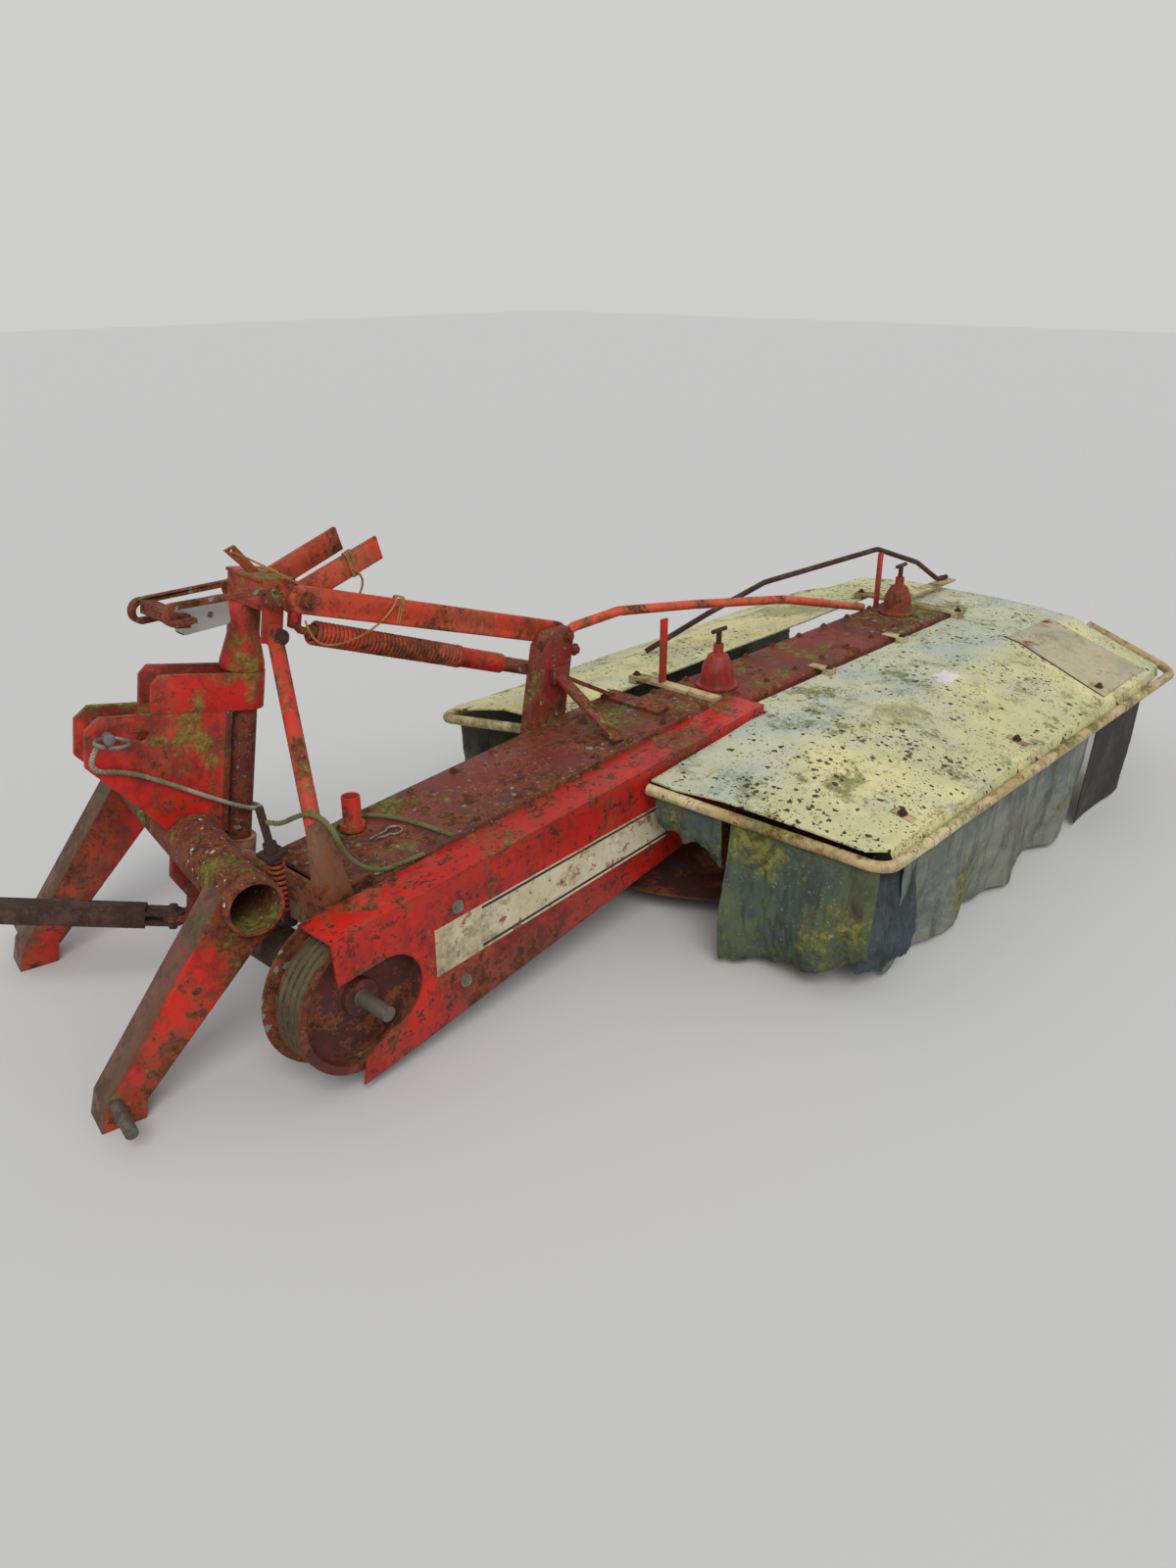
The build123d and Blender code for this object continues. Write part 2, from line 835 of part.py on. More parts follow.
with BuildPart() as head:
    with BuildSketch(turret_flat((head_left + head_right) / 2, (head_near + head_far) / 2, head_low)):
        RectangleRounded(head_right - head_left, head_far - head_near, 10)
    extrude(amount=head_high - head_low)
    for z, sheet in ((head_low, 8), (head_high - 7, 7)):
        with BuildSketch(turret_flat((head_left + head_right) / 2, (head_near + head_far) / 2, z)):
            Rectangle(head_right - head_left + 10, head_far - head_near - 12)
        extrude(amount=sheet)
    with BuildSketch(turret_across(head_near + 10)):
        with Locations((10, (468 + head_low + 8) / 2)):
            Rectangle(50, head_low + 8 - 468)
    extrude(amount=10)
    with BuildSketch(turret_across(head_near + 20)):
        with Locations((head_right + 11, 522)):
            Rectangle(24, 48)
    extrude(amount=20)
    with BuildSketch(turret_across(-8)):
        with BuildLine():
            Polyline((2, head_high - 4), (30, head_high - 4), (-40, 668), (-64, 656), close=True)
        make_face()
        with Locations((-46, 655)):
            Circle(5, mode=Mode.SUBTRACT)
    extrude(amount=8)
out(head, "turret_head")

# Latch: two long hairpins of flat bar, side, far face, loop's centre, half height, tilt, pivot
hairpins = (
    ("near", head_near, (-235, 544), 24, 7.0, (-3, 571)),
    ("far", head_far + hairpin_depth, (-213, 516), 28, 9.0, (6, 558)),
)
with BuildPart() as latch:
    for side, far, centre, half, tilt, pivot in hairpins:
        with BuildSketch(turret_across(far)):
            reach = hypot(pivot[0] - centre[0], pivot[1] - centre[1])
            with Locations(Location(centre, tilt)):
                Circle(half)
                with Locations((half, 0)):
                    Rectangle(2 * half, 2 * half)
                with Locations((reach / 2, half - hairpin_bar / 2)):
                    Rectangle(reach, hairpin_bar)
                with Locations((reach, 0)):
                    SlotCenterToCenter(2 * reach, 2 * (half - hairpin_bar), mode=Mode.SUBTRACT)
            with Locations(pivot):
                Circle(hairpin_eye)
        extrude(amount=hairpin_depth)
    with BuildSketch(turret_across(head_near - hairpin_depth)):
        with Locations(hairpins[0][5]):
            Circle(hairpin_eye - 2)
    extrude(amount=7)
    with BuildSketch(turret_across(head_near - hairpin_depth - 7)):
        with Locations(hairpins[0][5]):
            RegularPolygon(14, 6)
    extrude(amount=13)
    with BuildSketch(turret_across(head_far)):
        with Locations((-205, 527)):
            Rectangle(32, 28)
    extrude(amount=head_far - head_near)
    with BuildSketch(turret_across(-50)):
        with Locations(Location((-145, 532), 11)):
            Rectangle(112, 58)
            with Locations((12, 0)):
                Circle(8, mode=Mode.SUBTRACT)
    extrude(amount=30)
out(latch, "latch_links")

lever_width = 57.0
levers = (
    ("near", head_near, 8, (59, 569), (282, 680), 37),
    ("far", -26, 10, (50, 598), (221, 688), 26),
)
with BuildPart() as lever_bars:
    for side, far, thick, root, tip, round_root in levers:
        angle = degrees(atan2(tip[1] - root[1], tip[0] - root[0]))
        length = hypot(tip[0] - root[0], tip[1] - root[1])
        with BuildSketch(turret_across(far)):
            middle = ((root[0] + tip[0]) / 2, (root[1] + tip[1]) / 2)
            with Locations(Location(middle, angle)):
                Rectangle(length, lever_width)
            with Locations(root):
                Circle(round_root)
            if side == "far":
                with Locations(((head_left + head_right) / 2, (head_low + head_high) / 2)):
                    Rectangle(head_right - head_left + 10, head_high - head_low + 8, mode=Mode.SUBTRACT)
        extrude(amount=thick)
out(lever_bars, "lever_bars")

ear_top = (-1462.0, 590.0)
brace_top = (10.0, head_near - 6.0, 488.0)
with BuildPart() as brace:
    top_point = turret_flat(*brace_top).origin
    low_point = Vector(ear_top[0] + 4, ear_near + ear_sheet + 7, ear_top[1] - 24)
    straight(top_point - (top_point - low_point).normalized() * 12, low_point, brace_radius)
    with BuildSketch(turret_across(head_near)):
        with Locations((brace_top[0], brace_top[2])):
            RectangleRounded(36, 52, 12)
    extrude(amount=10)
    with BuildSketch(turret_across(head_near - 10)):
        with Locations((brace_top[0], brace_top[2])):
            RegularPolygon(12, 6)
    extrude(amount=8)
    with BuildSketch(across(ear_near)):
        with BuildLine():
            Polyline((-1600, 400), (-1300, 400), (-1300, 700), (-1600, 700), close=True)
        make_face()
    extrude(amount=-ear_sheet, mode=Mode.SUBTRACT)
out(brace, "turret_brace")

# Turret foot: boss under the column, lift shaft, near ear and its web
with BuildPart() as turret_foot:
    with BuildSketch(turret_flat(0, 0, foot_low)):
        Circle(foot_radius)
    extrude(amount=column_low - seat_gap - foot_low)
    straight((lift_x, tube_y - 30, lift_z), (lift_x, ear_near, lift_z), lift_radius)
    with BuildSketch(across(ear_near + ear_sheet)):
        with BuildLine():
            Polyline(
                (web_front, web_low),
                (web_front, 555),
                (ear_top[0] - 16, ear_top[1]),
                (ear_top[0] + 22, ear_top[1]),
                (-1427, 553),
                (-1391, 410),
                (lift_x + lift_sleeve, lift_z + 10),
                (lift_x + 20, lift_z - 32),
                (lift_x - 20, lift_z - 34),
                close=True,
            )
        make_face()
    extrude(amount=ear_sheet)
    with BuildSketch(across(web_end)):
        with Locations((web_front + web_sheet / 2, (web_low + web_top) / 2)):
            Rectangle(web_sheet, web_top - web_low)
    extrude(amount=web_end - ear_near)
    with BuildSketch(across(rod_y + rod_radius + 12 + seat_gap)):
        with BuildSketch(mode=Mode.PRIVATE) as lug:
            with Locations((lift_x, lift_z)):
                Circle(lift_radius + 8)
            with Locations(rod_pin):
                Circle(14)
            make_hull()
        add(lug.sketch)
    extrude(amount=12)
out(turret_foot, "turret_foot")

rod_top = Vector(-1497, rod_y, 591)
rod_low = Vector(rod_pin[0], rod_y, rod_pin[1])
with BuildPart() as breakaway:
    rod_run = rod_top - rod_low
    rod_dir = rod_run.normalized()
    straight(rod_low - rod_dir * 12, rod_top, rod_radius)
    straight(rod_low - Vector(0, 16, 0), rod_low + Vector(0, rod_radius - seat_gap, 0), 6)
    with BuildSketch(Plane(origin=rod_low + rod_dir * 36, z_dir=rod_run)):
        Circle(21)
    extrude(amount=136)
    with BuildSketch(Plane(origin=rod_low + rod_dir * 172, x_dir=(0, 1, 0), z_dir=rod_run)):
        Rectangle(50, 50)
    extrude(amount=9)
    with BuildSketch(Plane(origin=rod_low + rod_dir * 181, z_dir=rod_run)):
        Circle(15)
    extrude(amount=22)
out(breakaway, "breakaway_spring")

# Post on the beam's far side, its braces and the tie rod to the outer end
with BuildPart() as post:
    with BuildSketch(across(post_far)):
        with BuildLine():
            Polyline((-600, 365), (-458, 365), (-404, 690), (-418, 722), (-500, 722), (-536, 690), close=True)
        make_face()
    extrude(amount=post_far - beam_far)
    with BuildSketch(across(link_near + link_sheet + 8)):
        with Locations(link_outer):
            Circle(link_pin)
    extrude(amount=link_near + link_sheet + 8 - post_far)
    with BuildSketch(across(link_near + link_sheet + 16)):
        with Locations(link_outer):
            RegularPolygon(20, 6)
    extrude(amount=8)
out(post, "post")

post_brace_lug = (-470.0, 600.0)
near_foot = Vector(-500, -55, 0)
far_foot = Vector(-275, 170, 0)
with BuildPart() as braces:
    start = Vector(post_brace_lug[0], beam_far, post_brace_lug[1])
    for foot in (near_foot, far_foot):
        foot_z = beam_z(foot.X) + 7
        end = Vector(foot.X, foot.Y, foot_z)
        run = end - start
        with BuildSketch(Plane(origin=start, x_dir=run.cross(Vector(0, 0, 1)), z_dir=run)):
            Rectangle(34, 12)
        extrude(amount=run.length)
    with BuildSketch(across(beam_far)):
        with Locations(post_brace_lug):
            Rectangle(60, 44)
    extrude(amount=16)
    with BuildSketch(across(far_foot.Y + 20)):
        with BuildLine():
            Polyline(
                (-300, beam_z(-300)),
                (-245, beam_z(-245)),
                (-245, beam_z(-245) + 10),
                (-300, beam_z(-300) + 10),
                close=True,
            )
        make_face()
    extrude(amount=210)
    with BuildSketch(across(beam_far)):
        with BuildLine():
            Polyline((-1600, 300), (0, beam_z(0) - 112), (0, beam_z(0)), (-1600, beam_z(-1600)), close=True)
        make_face()
    extrude(amount=beam_far - beam_near, mode=Mode.SUBTRACT)
    split(bisect_by=across(beam_far - seat_gap), keep=Keep.TOP)
out(braces, "post_braces")

tie_points = (
    (-400, 246, 655),
    (-360, 246, 697),
    (-170, 238, 706),
    (144, 205, 668),
    (579, 158, 606),
    (1000, 104, case_top + tie_radius + seat_gap),
)
with BuildPart() as tie_rod:
    bent(tie_points, tie_radius, 36)
out(tie_rod, "tie_rod")

# Upper link, opened at its inner pin, with the balance spring under it
link_run = hypot(link_inner[0] - link_outer[0], link_inner[1] - link_outer[1])
link_angle = degrees(atan2(link_outer[1] - link_inner[1], link_outer[0] - link_inner[0]))
with BuildPart() as link:
    with BuildSketch(across(link_near + link_sheet)):
        with Locations(Location(((link_inner[0] + link_outer[0]) / 2, (link_inner[1] + link_outer[1]) / 2), link_angle)):
            Rectangle(link_run, link_depth)
        with Locations(link_inner, link_outer):
            Circle(link_depth / 2)
        with Locations(link_outer):
            Circle(link_pin + shaft_gap, mode=Mode.SUBTRACT)
    extrude(amount=link_sheet)
    with BuildSketch(across(link_near)):
        with Locations(link_inner):
            Circle(16)
    extrude(amount=10)
out(link, "upper_link")

spring_start = Vector(-1198, 274, 863)
spring_end = Vector(-620, 262, 652)
with BuildPart() as balance:
    spring_dir = (spring_end - spring_start).normalized()
    straight(spring_start, spring_end, spring_radius)
    straight(spring_end, spring_end + spring_dir * 105, spring_tube)
    with BuildSketch(across(post_far + seat_gap + 14)):
        with BuildSketch(mode=Mode.PRIVATE) as eye:
            with Locations((spring_end.X + 100, spring_end.Z - 36)):
                Circle(19)
            with Locations((spring_end.X + 50, spring_end.Z - 18)):
                Circle(12)
            make_hull()
        add(eye.sketch)
    extrude(amount=14)
out(balance, "balance_spring")

# Cross bars on the gear case carry the guards: station, near end, far end
bar_sheet = 10.0
bar_outer = drum_spacing + 135
post_outer = drum_spacing + 28
end_strip = drum_spacing + 320
clip_seat = guard_top + seat_gap
with BuildPart() as bars:
    long_bars = (
        (-102, -80, guard_front_edge + 30),
        (bar_outer, guard_rear_edge - 36, guard_front_edge + 30),
    )
    for x, near, far in long_bars:
        with BuildSketch(Plane(origin=(x, (near + far) / 2, case_top))):
            Rectangle(40, far - near)
        extrude(amount=bar_sheet)
        with BuildSketch(Plane(origin=(x, guard_front_edge + 15, clip_seat))):
            Rectangle(40, 28)
        extrude(amount=case_top - clip_seat)
    for x, width in ((350, 36), (800, 36), (bar_outer, 40)):
        with BuildSketch(Plane(origin=(x, (guard_rear_edge + case_near) / 2, case_top))):
            Rectangle(width, case_near - guard_rear_edge + 60)
        extrude(amount=bar_sheet / 2)
        with BuildSketch(Plane(origin=(x, guard_rear_edge - 15, clip_seat))):
            Rectangle(width, 28)
        extrude(amount=case_top - clip_seat)
    with BuildSketch(Plane(origin=(end_strip, 60, case_top + bar_sheet))):
        Rectangle(410, 46)
    extrude(amount=8)
out(bars, "cross_bars")

with BuildPart() as thin_posts:
    for x, y, low, high in ((-102, 122, case_top + bar_sheet, 691), (post_outer, 98, case_top, 684)):
        with BuildSketch(Plane(origin=(x, y, low))):
            Rectangle(26, 9)
        extrude(amount=high - low)
out(thin_posts, "thin_posts")

# Guards: sheets lofted through sections across the cutter, each a station and its points
rear_lip = -810.0
front_lip = 660.0
rear_sections = (
    (-560, ((guard_rear_edge, 440), (-420, 425), (rear_lip + 8, 376), (rear_lip, 350))),
    (-130, ((guard_rear_edge, guard_top), (-440, 466), (rear_lip + 8, 380), (rear_lip, 352))),
    (1250, ((guard_rear_edge, guard_top), (-440, 466), (rear_lip + 8, 378), (rear_lip, 350))),
    (guard_end_x, ((guard_rear_edge, guard_end_top), (-440, 462), (-764, 356), (-772, 330))),
)
front_sections = (
    (-480, ((guard_front_edge, 462), (400, 450), (front_lip - 8, 384), (front_lip, 358))),
    (-130, ((guard_front_edge, guard_top), (420, 462), (front_lip - 8, 384), (front_lip, 358))),
    (1250, ((guard_front_edge, guard_top), (420, 462), (front_lip - 8, 380), (front_lip, 354))),
    (guard_end_x, ((guard_front_edge, guard_end_top), (420, 458), (front_lip - 42, 362), (front_lip - 34, 336))),
)
guards = {}
for name, sections in (("guard_rear", rear_sections), ("guard_front", front_sections)):
    with BuildPart() as guards[name]:
        for x, points in sections:
            with BuildSketch(Plane.YZ.offset(x)):
                with BuildLine():
                    Polyline(*points, *[(y, z - guard_sheet) for y, z in reversed(points)], close=True)
                make_face()
        loft(ruled=True)

# Rails: bent tubes along the guards' outer edges
rear_line = rear_lip - rail_radius - seat_gap
front_line = front_lip + rail_radius + seat_gap
rails = {
    "rail_rear": ((-590, -228, 424), (-446, rear_line, 350), (1500, rear_line, 346), (1548, -500, 440)),
    "rail_front": ((-505, 260, 428), (-490, front_line, 356), (1520, front_line, 350), (1568, 300, 446)),
}
for name, points in rails.items():
    with BuildPart() as rail:
        bent(points, rail_radius, rail_bend)
    out(rail, name)


def trim(points):
    """Cut the open guard along both ends of its rail."""
    for foot, tip, inward in ((points[0], points[1], 1), (points[3], points[2], -1)):
        along = Vector(tip[0] - foot[0], tip[1] - foot[1], 0).normalized()
        normal = Vector(inward * abs(along.Y), -inward * along.X * (1 if along.Y > 0 else -1), 0)
        edge = Vector(foot[0], foot[1], 0) + normal * (rail_radius + seat_gap)
        split(bisect_by=Plane(origin=edge, x_dir=(0, 0, 1), z_dir=normal), keep=Keep.TOP)
    for corner in (1, 2):
        middle, before, after = (Vector(*points[corner + i][:2], 0) for i in (0, -1, 1))
        inward = ((before - middle).normalized() + (after - middle).normalized()).normalized()
        edge = middle + inward * (0.42 * rail_bend + rail_radius + 8)
        split(bisect_by=Plane(origin=edge, x_dir=(0, 0, 1), z_dir=inward), keep=Keep.TOP)


with BuildPart() as guard_rear:
    add(guards["guard_rear"].part)
    notch_end = cover_outer + 12
    notch_side = cover_front - 8
    with Locations((notch_end, notch_side, 450)):
        Box(800, 300, 400, align=(Align.MAX, Align.MIN, Align.CENTER), mode=Mode.SUBTRACT)
    trim(rails["rail_rear"])
out(guard_rear, "guard_rear")

with BuildPart() as guard_front:
    add(guards["guard_front"].part)
    with Locations((-404, post_far + 6, 450)):
        Box(300, 300, 400, align=(Align.MAX, Align.MAX, Align.CENTER), mode=Mode.SUBTRACT)
    trim(rails["rail_front"])
out(guard_front, "guard_front")

# Sheet that joins the two guards beyond the gear case
with BuildPart() as guard_end:
    for x, top in ((case_outer + 7, guard_top), (1250, guard_top), (guard_end_x, guard_end_top)):
        with BuildSketch(Plane.YZ.offset(x)):
            with Locations(((guard_rear_edge + guard_front_edge) / 2, top - guard_sheet / 2)):
                Rectangle(guard_front_edge - guard_rear_edge, guard_sheet)
    loft(ruled=True)
out(guard_end, "guard_end")

# Curtains hang under the rails' runs: name, rail, run, stretch of the run, sheet
curtains = (
    ("curtain_inner", "rail_rear", 0, 0.42, 0.90, curtain_sheet),
    ("curtain_rear", "rail_rear", 1, 0.04, 0.62, curtain_sheet),
    ("flap_outer", "rail_rear", 1, 0.65, 0.84, curtain_sheet + 2),
    ("curtain_front", "rail_front", 1, 0.04, 0.95, curtain_sheet),
)
for name, rail_name, run, start, end, thick in curtains:
    first = Vector(*rails[rail_name][run])
    last = Vector(*rails[rail_name][run + 1])
    head_end = first + (last - first) * start
    tail_end = first + (last - first) * end
    level = Vector(tail_end.X - head_end.X, tail_end.Y - head_end.Y, 0)
    under = rail_radius + seat_gap
    with BuildPart() as curtain:
        origin = Vector(head_end.X, head_end.Y, 0)
        with BuildSketch(Plane(origin=origin, x_dir=level, z_dir=level.cross(Vector(0, 0, 1)))):
            with BuildLine():
                Polyline(
                    (0, hem_height),
                    (level.length, hem_height),
                    (level.length, tail_end.Z - under),
                    (0, head_end.Z - under),
                    close=True,
                )
            make_face()
        extrude(amount=thick / 2, both=True)
    out(curtain, name)

# Hoop bar over the forward guard
hoop_radius = 9.0
hoop_end = case_top + bar_sheet + 8 + hoop_radius + seat_gap
hoop_points = (
    (157, 400, 474.5),
    (349, 300, 579),
    (548, 220, 659),
    (1088, 114, 695),
    (1374, 100, 600),
    (1505, 76, hoop_end),
    (1562, 66, hoop_end),
)
with BuildPart() as hoop:
    bent(hoop_points, hoop_radius, 60)
out(hoop, "hoop_bar")


# Ropes: one from the top link pin's ring to the column, one over the turret's foot, one on the beam
def lay_rope(points):
    """A rope along its route, each corner rounded as far as its two runs allow."""
    radii = []
    for before, corner, after in zip(points, points[1:], points[2:]):
        come, go = corner - before, after - corner
        half_turn = radians(come.get_angle(go)) / 2
        radii.append(0.45 * min(come.length, go.length) / tan(half_turn))
    print("rope radii", [round(r) for r in radii])
    with BuildLine() as route:
        FilletPolyline(*points, radius=radii)
    with BuildSketch(Plane(origin=route.line @ 0, z_dir=route.line % 0)) as end_face:
        Circle(rope_radius)
    sweep(end_face.sketch, path=route.line)


rope_mast_points = (
    (-222, -93, 247.5),
    (-233, -80, 212),
    (-212, -64, 184),
    (-172, -63, 182),
    (-130, -63, 173),
    (-80, -62, 153),
    (-30, -62, 131),
    (22, -62, 108),
    (70, -60, 87),
    (118, -58, 68),
    (158, -42, 56),
    (176, -12, 47),
    (174, 18, 44),
    (158, 43, 40),
    (134, 54, 38),
    (112, 50, 37),
    (94.2, 36.8, 36),
)
rope_turret_points = (
    (-1491, 59.2, 561),
    (-1481, 40, 559),
    (-1477, 12, 571),
    (-1473, -20, 591),
    (-1464, -55, 608),
    (-1453, -84, 606),
    (-1442, -102, 582),
    (-1431, -106, 549),
    (-1413, -101, 511),
    (-1386, -95, 478),
    (-1352, -91, 449),
    (-1315, -88, 430),
    (-1276, -87, 427),
    (-1238, -91, 428),
    (-1204, -96, 432),
)
rope_beam_points = (
    (-1270, 112),
    (-1269, 150),
    (-1235, 180),
    (-1190, 178),
    (-1155, 143),
    (-1134, 92),
    (-1121, 40),
    (-1114, -10),
    (-1110, -56),
    (-1107, -82),
)
ropes = (
    ("rope_mast", [hitch_flat(*point).origin for point in rope_mast_points]),
    ("rope_turret", [Vector(*point) for point in rope_turret_points]),
    ("rope_beam", [Vector(x, y, beam_z(x) + rope_radius + seat_gap) for x, y in rope_beam_points]),
)
for name, points in ropes:
    with BuildPart() as rope:
        lay_rope(points)
    out(rope, name)
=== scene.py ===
"""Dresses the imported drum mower: finishes, springs, canvas, ropes, small hardware, light and camera."""

from __future__ import annotations

import json
import logging
import math
import sys
from dataclasses import dataclass, field
from enum import Enum
from typing import Any, ClassVar, Iterable, Sequence

import bmesh
import bpy
from mathutils import Matrix, Vector, noise
from mathutils.bvhtree import BVHTree

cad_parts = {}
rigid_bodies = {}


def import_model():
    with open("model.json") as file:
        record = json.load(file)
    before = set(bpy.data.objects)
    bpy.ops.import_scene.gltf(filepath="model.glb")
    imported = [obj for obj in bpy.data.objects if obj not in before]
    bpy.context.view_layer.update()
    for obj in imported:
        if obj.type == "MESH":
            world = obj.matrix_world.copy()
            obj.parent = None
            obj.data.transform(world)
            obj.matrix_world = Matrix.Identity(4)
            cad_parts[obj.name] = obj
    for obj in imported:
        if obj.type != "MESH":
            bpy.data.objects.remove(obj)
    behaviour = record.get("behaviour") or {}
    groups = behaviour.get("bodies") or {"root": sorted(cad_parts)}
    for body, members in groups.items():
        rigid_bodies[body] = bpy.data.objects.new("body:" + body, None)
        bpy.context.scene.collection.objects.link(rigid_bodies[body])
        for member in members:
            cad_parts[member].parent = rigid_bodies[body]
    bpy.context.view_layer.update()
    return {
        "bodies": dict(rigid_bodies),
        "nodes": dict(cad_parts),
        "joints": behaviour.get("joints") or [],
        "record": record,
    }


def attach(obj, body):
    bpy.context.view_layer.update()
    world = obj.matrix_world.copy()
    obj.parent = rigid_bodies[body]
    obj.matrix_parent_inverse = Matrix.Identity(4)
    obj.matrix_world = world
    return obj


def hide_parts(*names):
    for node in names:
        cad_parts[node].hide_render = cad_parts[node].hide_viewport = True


log = logging.getLogger("mower")
Piece = bpy.types.Object
Mesh = bpy.types.Mesh
Shape = bmesh.types.BMesh
Node = bpy.types.Node
Socket = bpy.types.NodeSocket
Tree = bpy.types.NodeTree
Colour = tuple[float, float, float]
Point = tuple[float, float, float]
# A grain is a noise's scale, detail and roughness.
Grain = tuple[float, float, float]
# A ramp is the value that gives 0 and the value that gives 1.
Ramp = tuple[float, float]

SMOOTH_ANGLE = math.radians(35)


def srgb(red: int, green: int, blue: int) -> Colour:
    """A screen colour of 0 to 255 a channel as linear light."""
    channels = (value / 255 for value in (red, green, blue))
    return tuple(v / 12.92 if v <= 0.04045 else ((v + 0.055) / 1.055) ** 2.4 for v in channels)


def metres(*values: float) -> Vector:
    """A point given in millimetres as a vector in metres."""
    return Vector(values) / 1000


HITCH = (
    Matrix.Translation(metres(-1490, 417, 420))
    @ Matrix.Rotation(math.radians(-12), 4, "Z")
    @ Matrix.Rotation(math.radians(9.4), 4, "Y")
)
TURRET = HITCH @ Matrix.Translation(metres(118, 0, 0)) @ Matrix.Rotation(math.radians(12), 4, "Z")
BEAM_RISE = math.tan(math.radians(3.9))
BEAM_START = (-1410, 410)
RAIL_RADIUS = 14.5
REAR_LINE = -824.8
FRONT_LINE = 674.8


def beam_top(x: float) -> float:
    """Height of the beam's top plate at a station, in millimetres."""
    return BEAM_START[1] + (x - BEAM_START[0]) * BEAM_RISE


class Graph:
    """Adds nodes to one tree and links them as they are added."""

    def __init__(self, tree: Tree) -> None:
        """Takes the tree that the nodes go into."""
        self.tree = tree

    def add(self, kind: str, inputs: dict[Any, Any] | None = None, **settings: Any) -> Node:
        """Adds a node.

        Args:
            kind: The node's type name.
            inputs: Input name or index to a value, a socket or a node.
            settings: The node's own properties.

        Returns:
            The new node.
        """
        node = self.tree.nodes.new(kind)
        for name, value in settings.items():
            setattr(node, name, value)
        for key, value in (inputs or {}).items():
            self.feed(node.inputs[key], value)
        return node

    def feed(self, socket: Socket, value: Any) -> None:
        """Gives an input its value.

        Args:
            socket: The input.
            value: A constant, a socket, or a node whose first output counts.
        """
        if isinstance(value, Node):
            value = value.outputs[0]
        if isinstance(value, Socket):
            self.tree.links.new(value, socket)
            return
        if socket.type == "RGBA" and len(value) == 3:
            value = (*value, 1.0)
        socket.default_value = value

    def maths(self, operation: str, *values: Any, clamp: bool = False) -> Socket:
        """A Math node's result for up to three values."""
        node = self.add("ShaderNodeMath", dict(enumerate(values)), operation=operation, use_clamp=clamp)
        return node.outputs[0]

    def times(self, first: Any, second: Any) -> Socket:
        """The product of two values."""
        return self.maths("MULTIPLY", first, second)

    def plus(self, first: Any, second: Any) -> Socket:
        """The sum of two values."""
        return self.maths("ADD", first, second)

    def minus(self, first: Any, second: Any, clamp: bool = False) -> Socket:
        """The first value less the second."""
        return self.maths("SUBTRACT", first, second, clamp=clamp)

    def line(self, value: Any, slope: Any, base: Any, clamp: bool = False) -> Socket:
        """A value times a slope, plus a base."""
        return self.maths("MULTIPLY_ADD", value, slope, base, clamp=clamp)

    def step(self, value: Any, low: float | Any, high: float | Any) -> Socket:
        """A smooth ramp.

        Args:
            value: What the ramp is taken over.
            low: Where it gives 0.
            high: Where it gives 1.

        Returns:
            The ramp's result.
        """
        node = self.add(
            "ShaderNodeMapRange",
            {"Value": value, "From Min": low, "From Max": high},
            interpolation_type="SMOOTHSTEP",
        )
        return node.outputs[0]

    def mix(self, share: Any, first: Any, second: Any) -> Socket:
        """A colour between two, by share."""
        node = self.add("ShaderNodeMix", {0: share, 6: first, 7: second}, data_type="RGBA")
        return node.outputs[2]

    def noise(self, vector: Any, scale: Any, detail: float, rough: float) -> Socket:
        """A noise over some coordinates.

        Args:
            vector: The coordinates.
            scale: How fine the noise is.
            detail: How many finer layers it has.
            rough: How much they count.

        Returns:
            The noise's value.
        """
        node = self.add(
            "ShaderNodeTexNoise",
            {"Vector": vector, "Scale": scale, "Detail": detail, "Roughness": rough},
        )
        return node.outputs[0]

    def patches(self, vector: Any, grain: Grain, ramp: Ramp) -> Socket:
        """Smooth patches: a noise of some grain, ramped between two of its values."""
        return self.step(self.noise(vector, *grain), *ramp)

    def place(self) -> Socket:
        """The piece's own coordinates, in metres."""
        return self.add("ShaderNodeTexCoord").outputs["Object"]

    def shifted(self, vector: Any, by: Any) -> Node:
        """Coordinates moved along."""
        return self.add("ShaderNodeVectorMath", {0: vector, 1: by})

    def stretched(self, vector: Any, scale: Point) -> Socket:
        """Coordinates scaled by a different factor on each axis."""
        return self.add("ShaderNodeMapping", {"Vector": vector, "Scale": scale}).outputs[0]

    def stained(self, coat: Any, colour: Any, mask: Any, strength: float) -> Socket:
        """A coat with a colour laid over it, by a mask times a strength."""
        return self.mix(self.times(mask, strength), coat, colour)

    def surface(self, shader: Node, inputs: dict[str, Any], bump: tuple[float, float, Any]) -> None:
        """Feeds a surface shader.

        Args:
            shader: The shader.
            inputs: Input name to its value.
            bump: The bump's strength, its depth in metres and its height.
        """
        for label, value in inputs.items():
            self.feed(shader.inputs[label], value)
        strength, depth, height = bump
        relief = self.add("ShaderNodeBump", {"Strength": strength, "Distance": depth, "Height": height})
        self.feed(shader.inputs["Normal"], relief)


def new_group(name: str, inputs: dict[str, float], outputs: Sequence[str]) -> tuple[Graph, Any, Any]:
    """Starts a shader group of plain numbers.

    Args:
        name: The group's name.
        inputs: Input names and their defaults.
        outputs: Output names.

    Returns:
        The graph, the group's input node and its output node.
    """
    tree = bpy.data.node_groups.new(name, "ShaderNodeTree")
    for label, default in inputs.items():
        socket = tree.interface.new_socket(label, in_out="INPUT", socket_type="NodeSocketFloat")
        socket.default_value = default
    for label in outputs:
        tree.interface.new_socket(label, in_out="OUTPUT", socket_type="NodeSocketFloat")
    graph = Graph(tree)
    return graph, graph.add("NodeGroupInput"), graph.add("NodeGroupOutput")


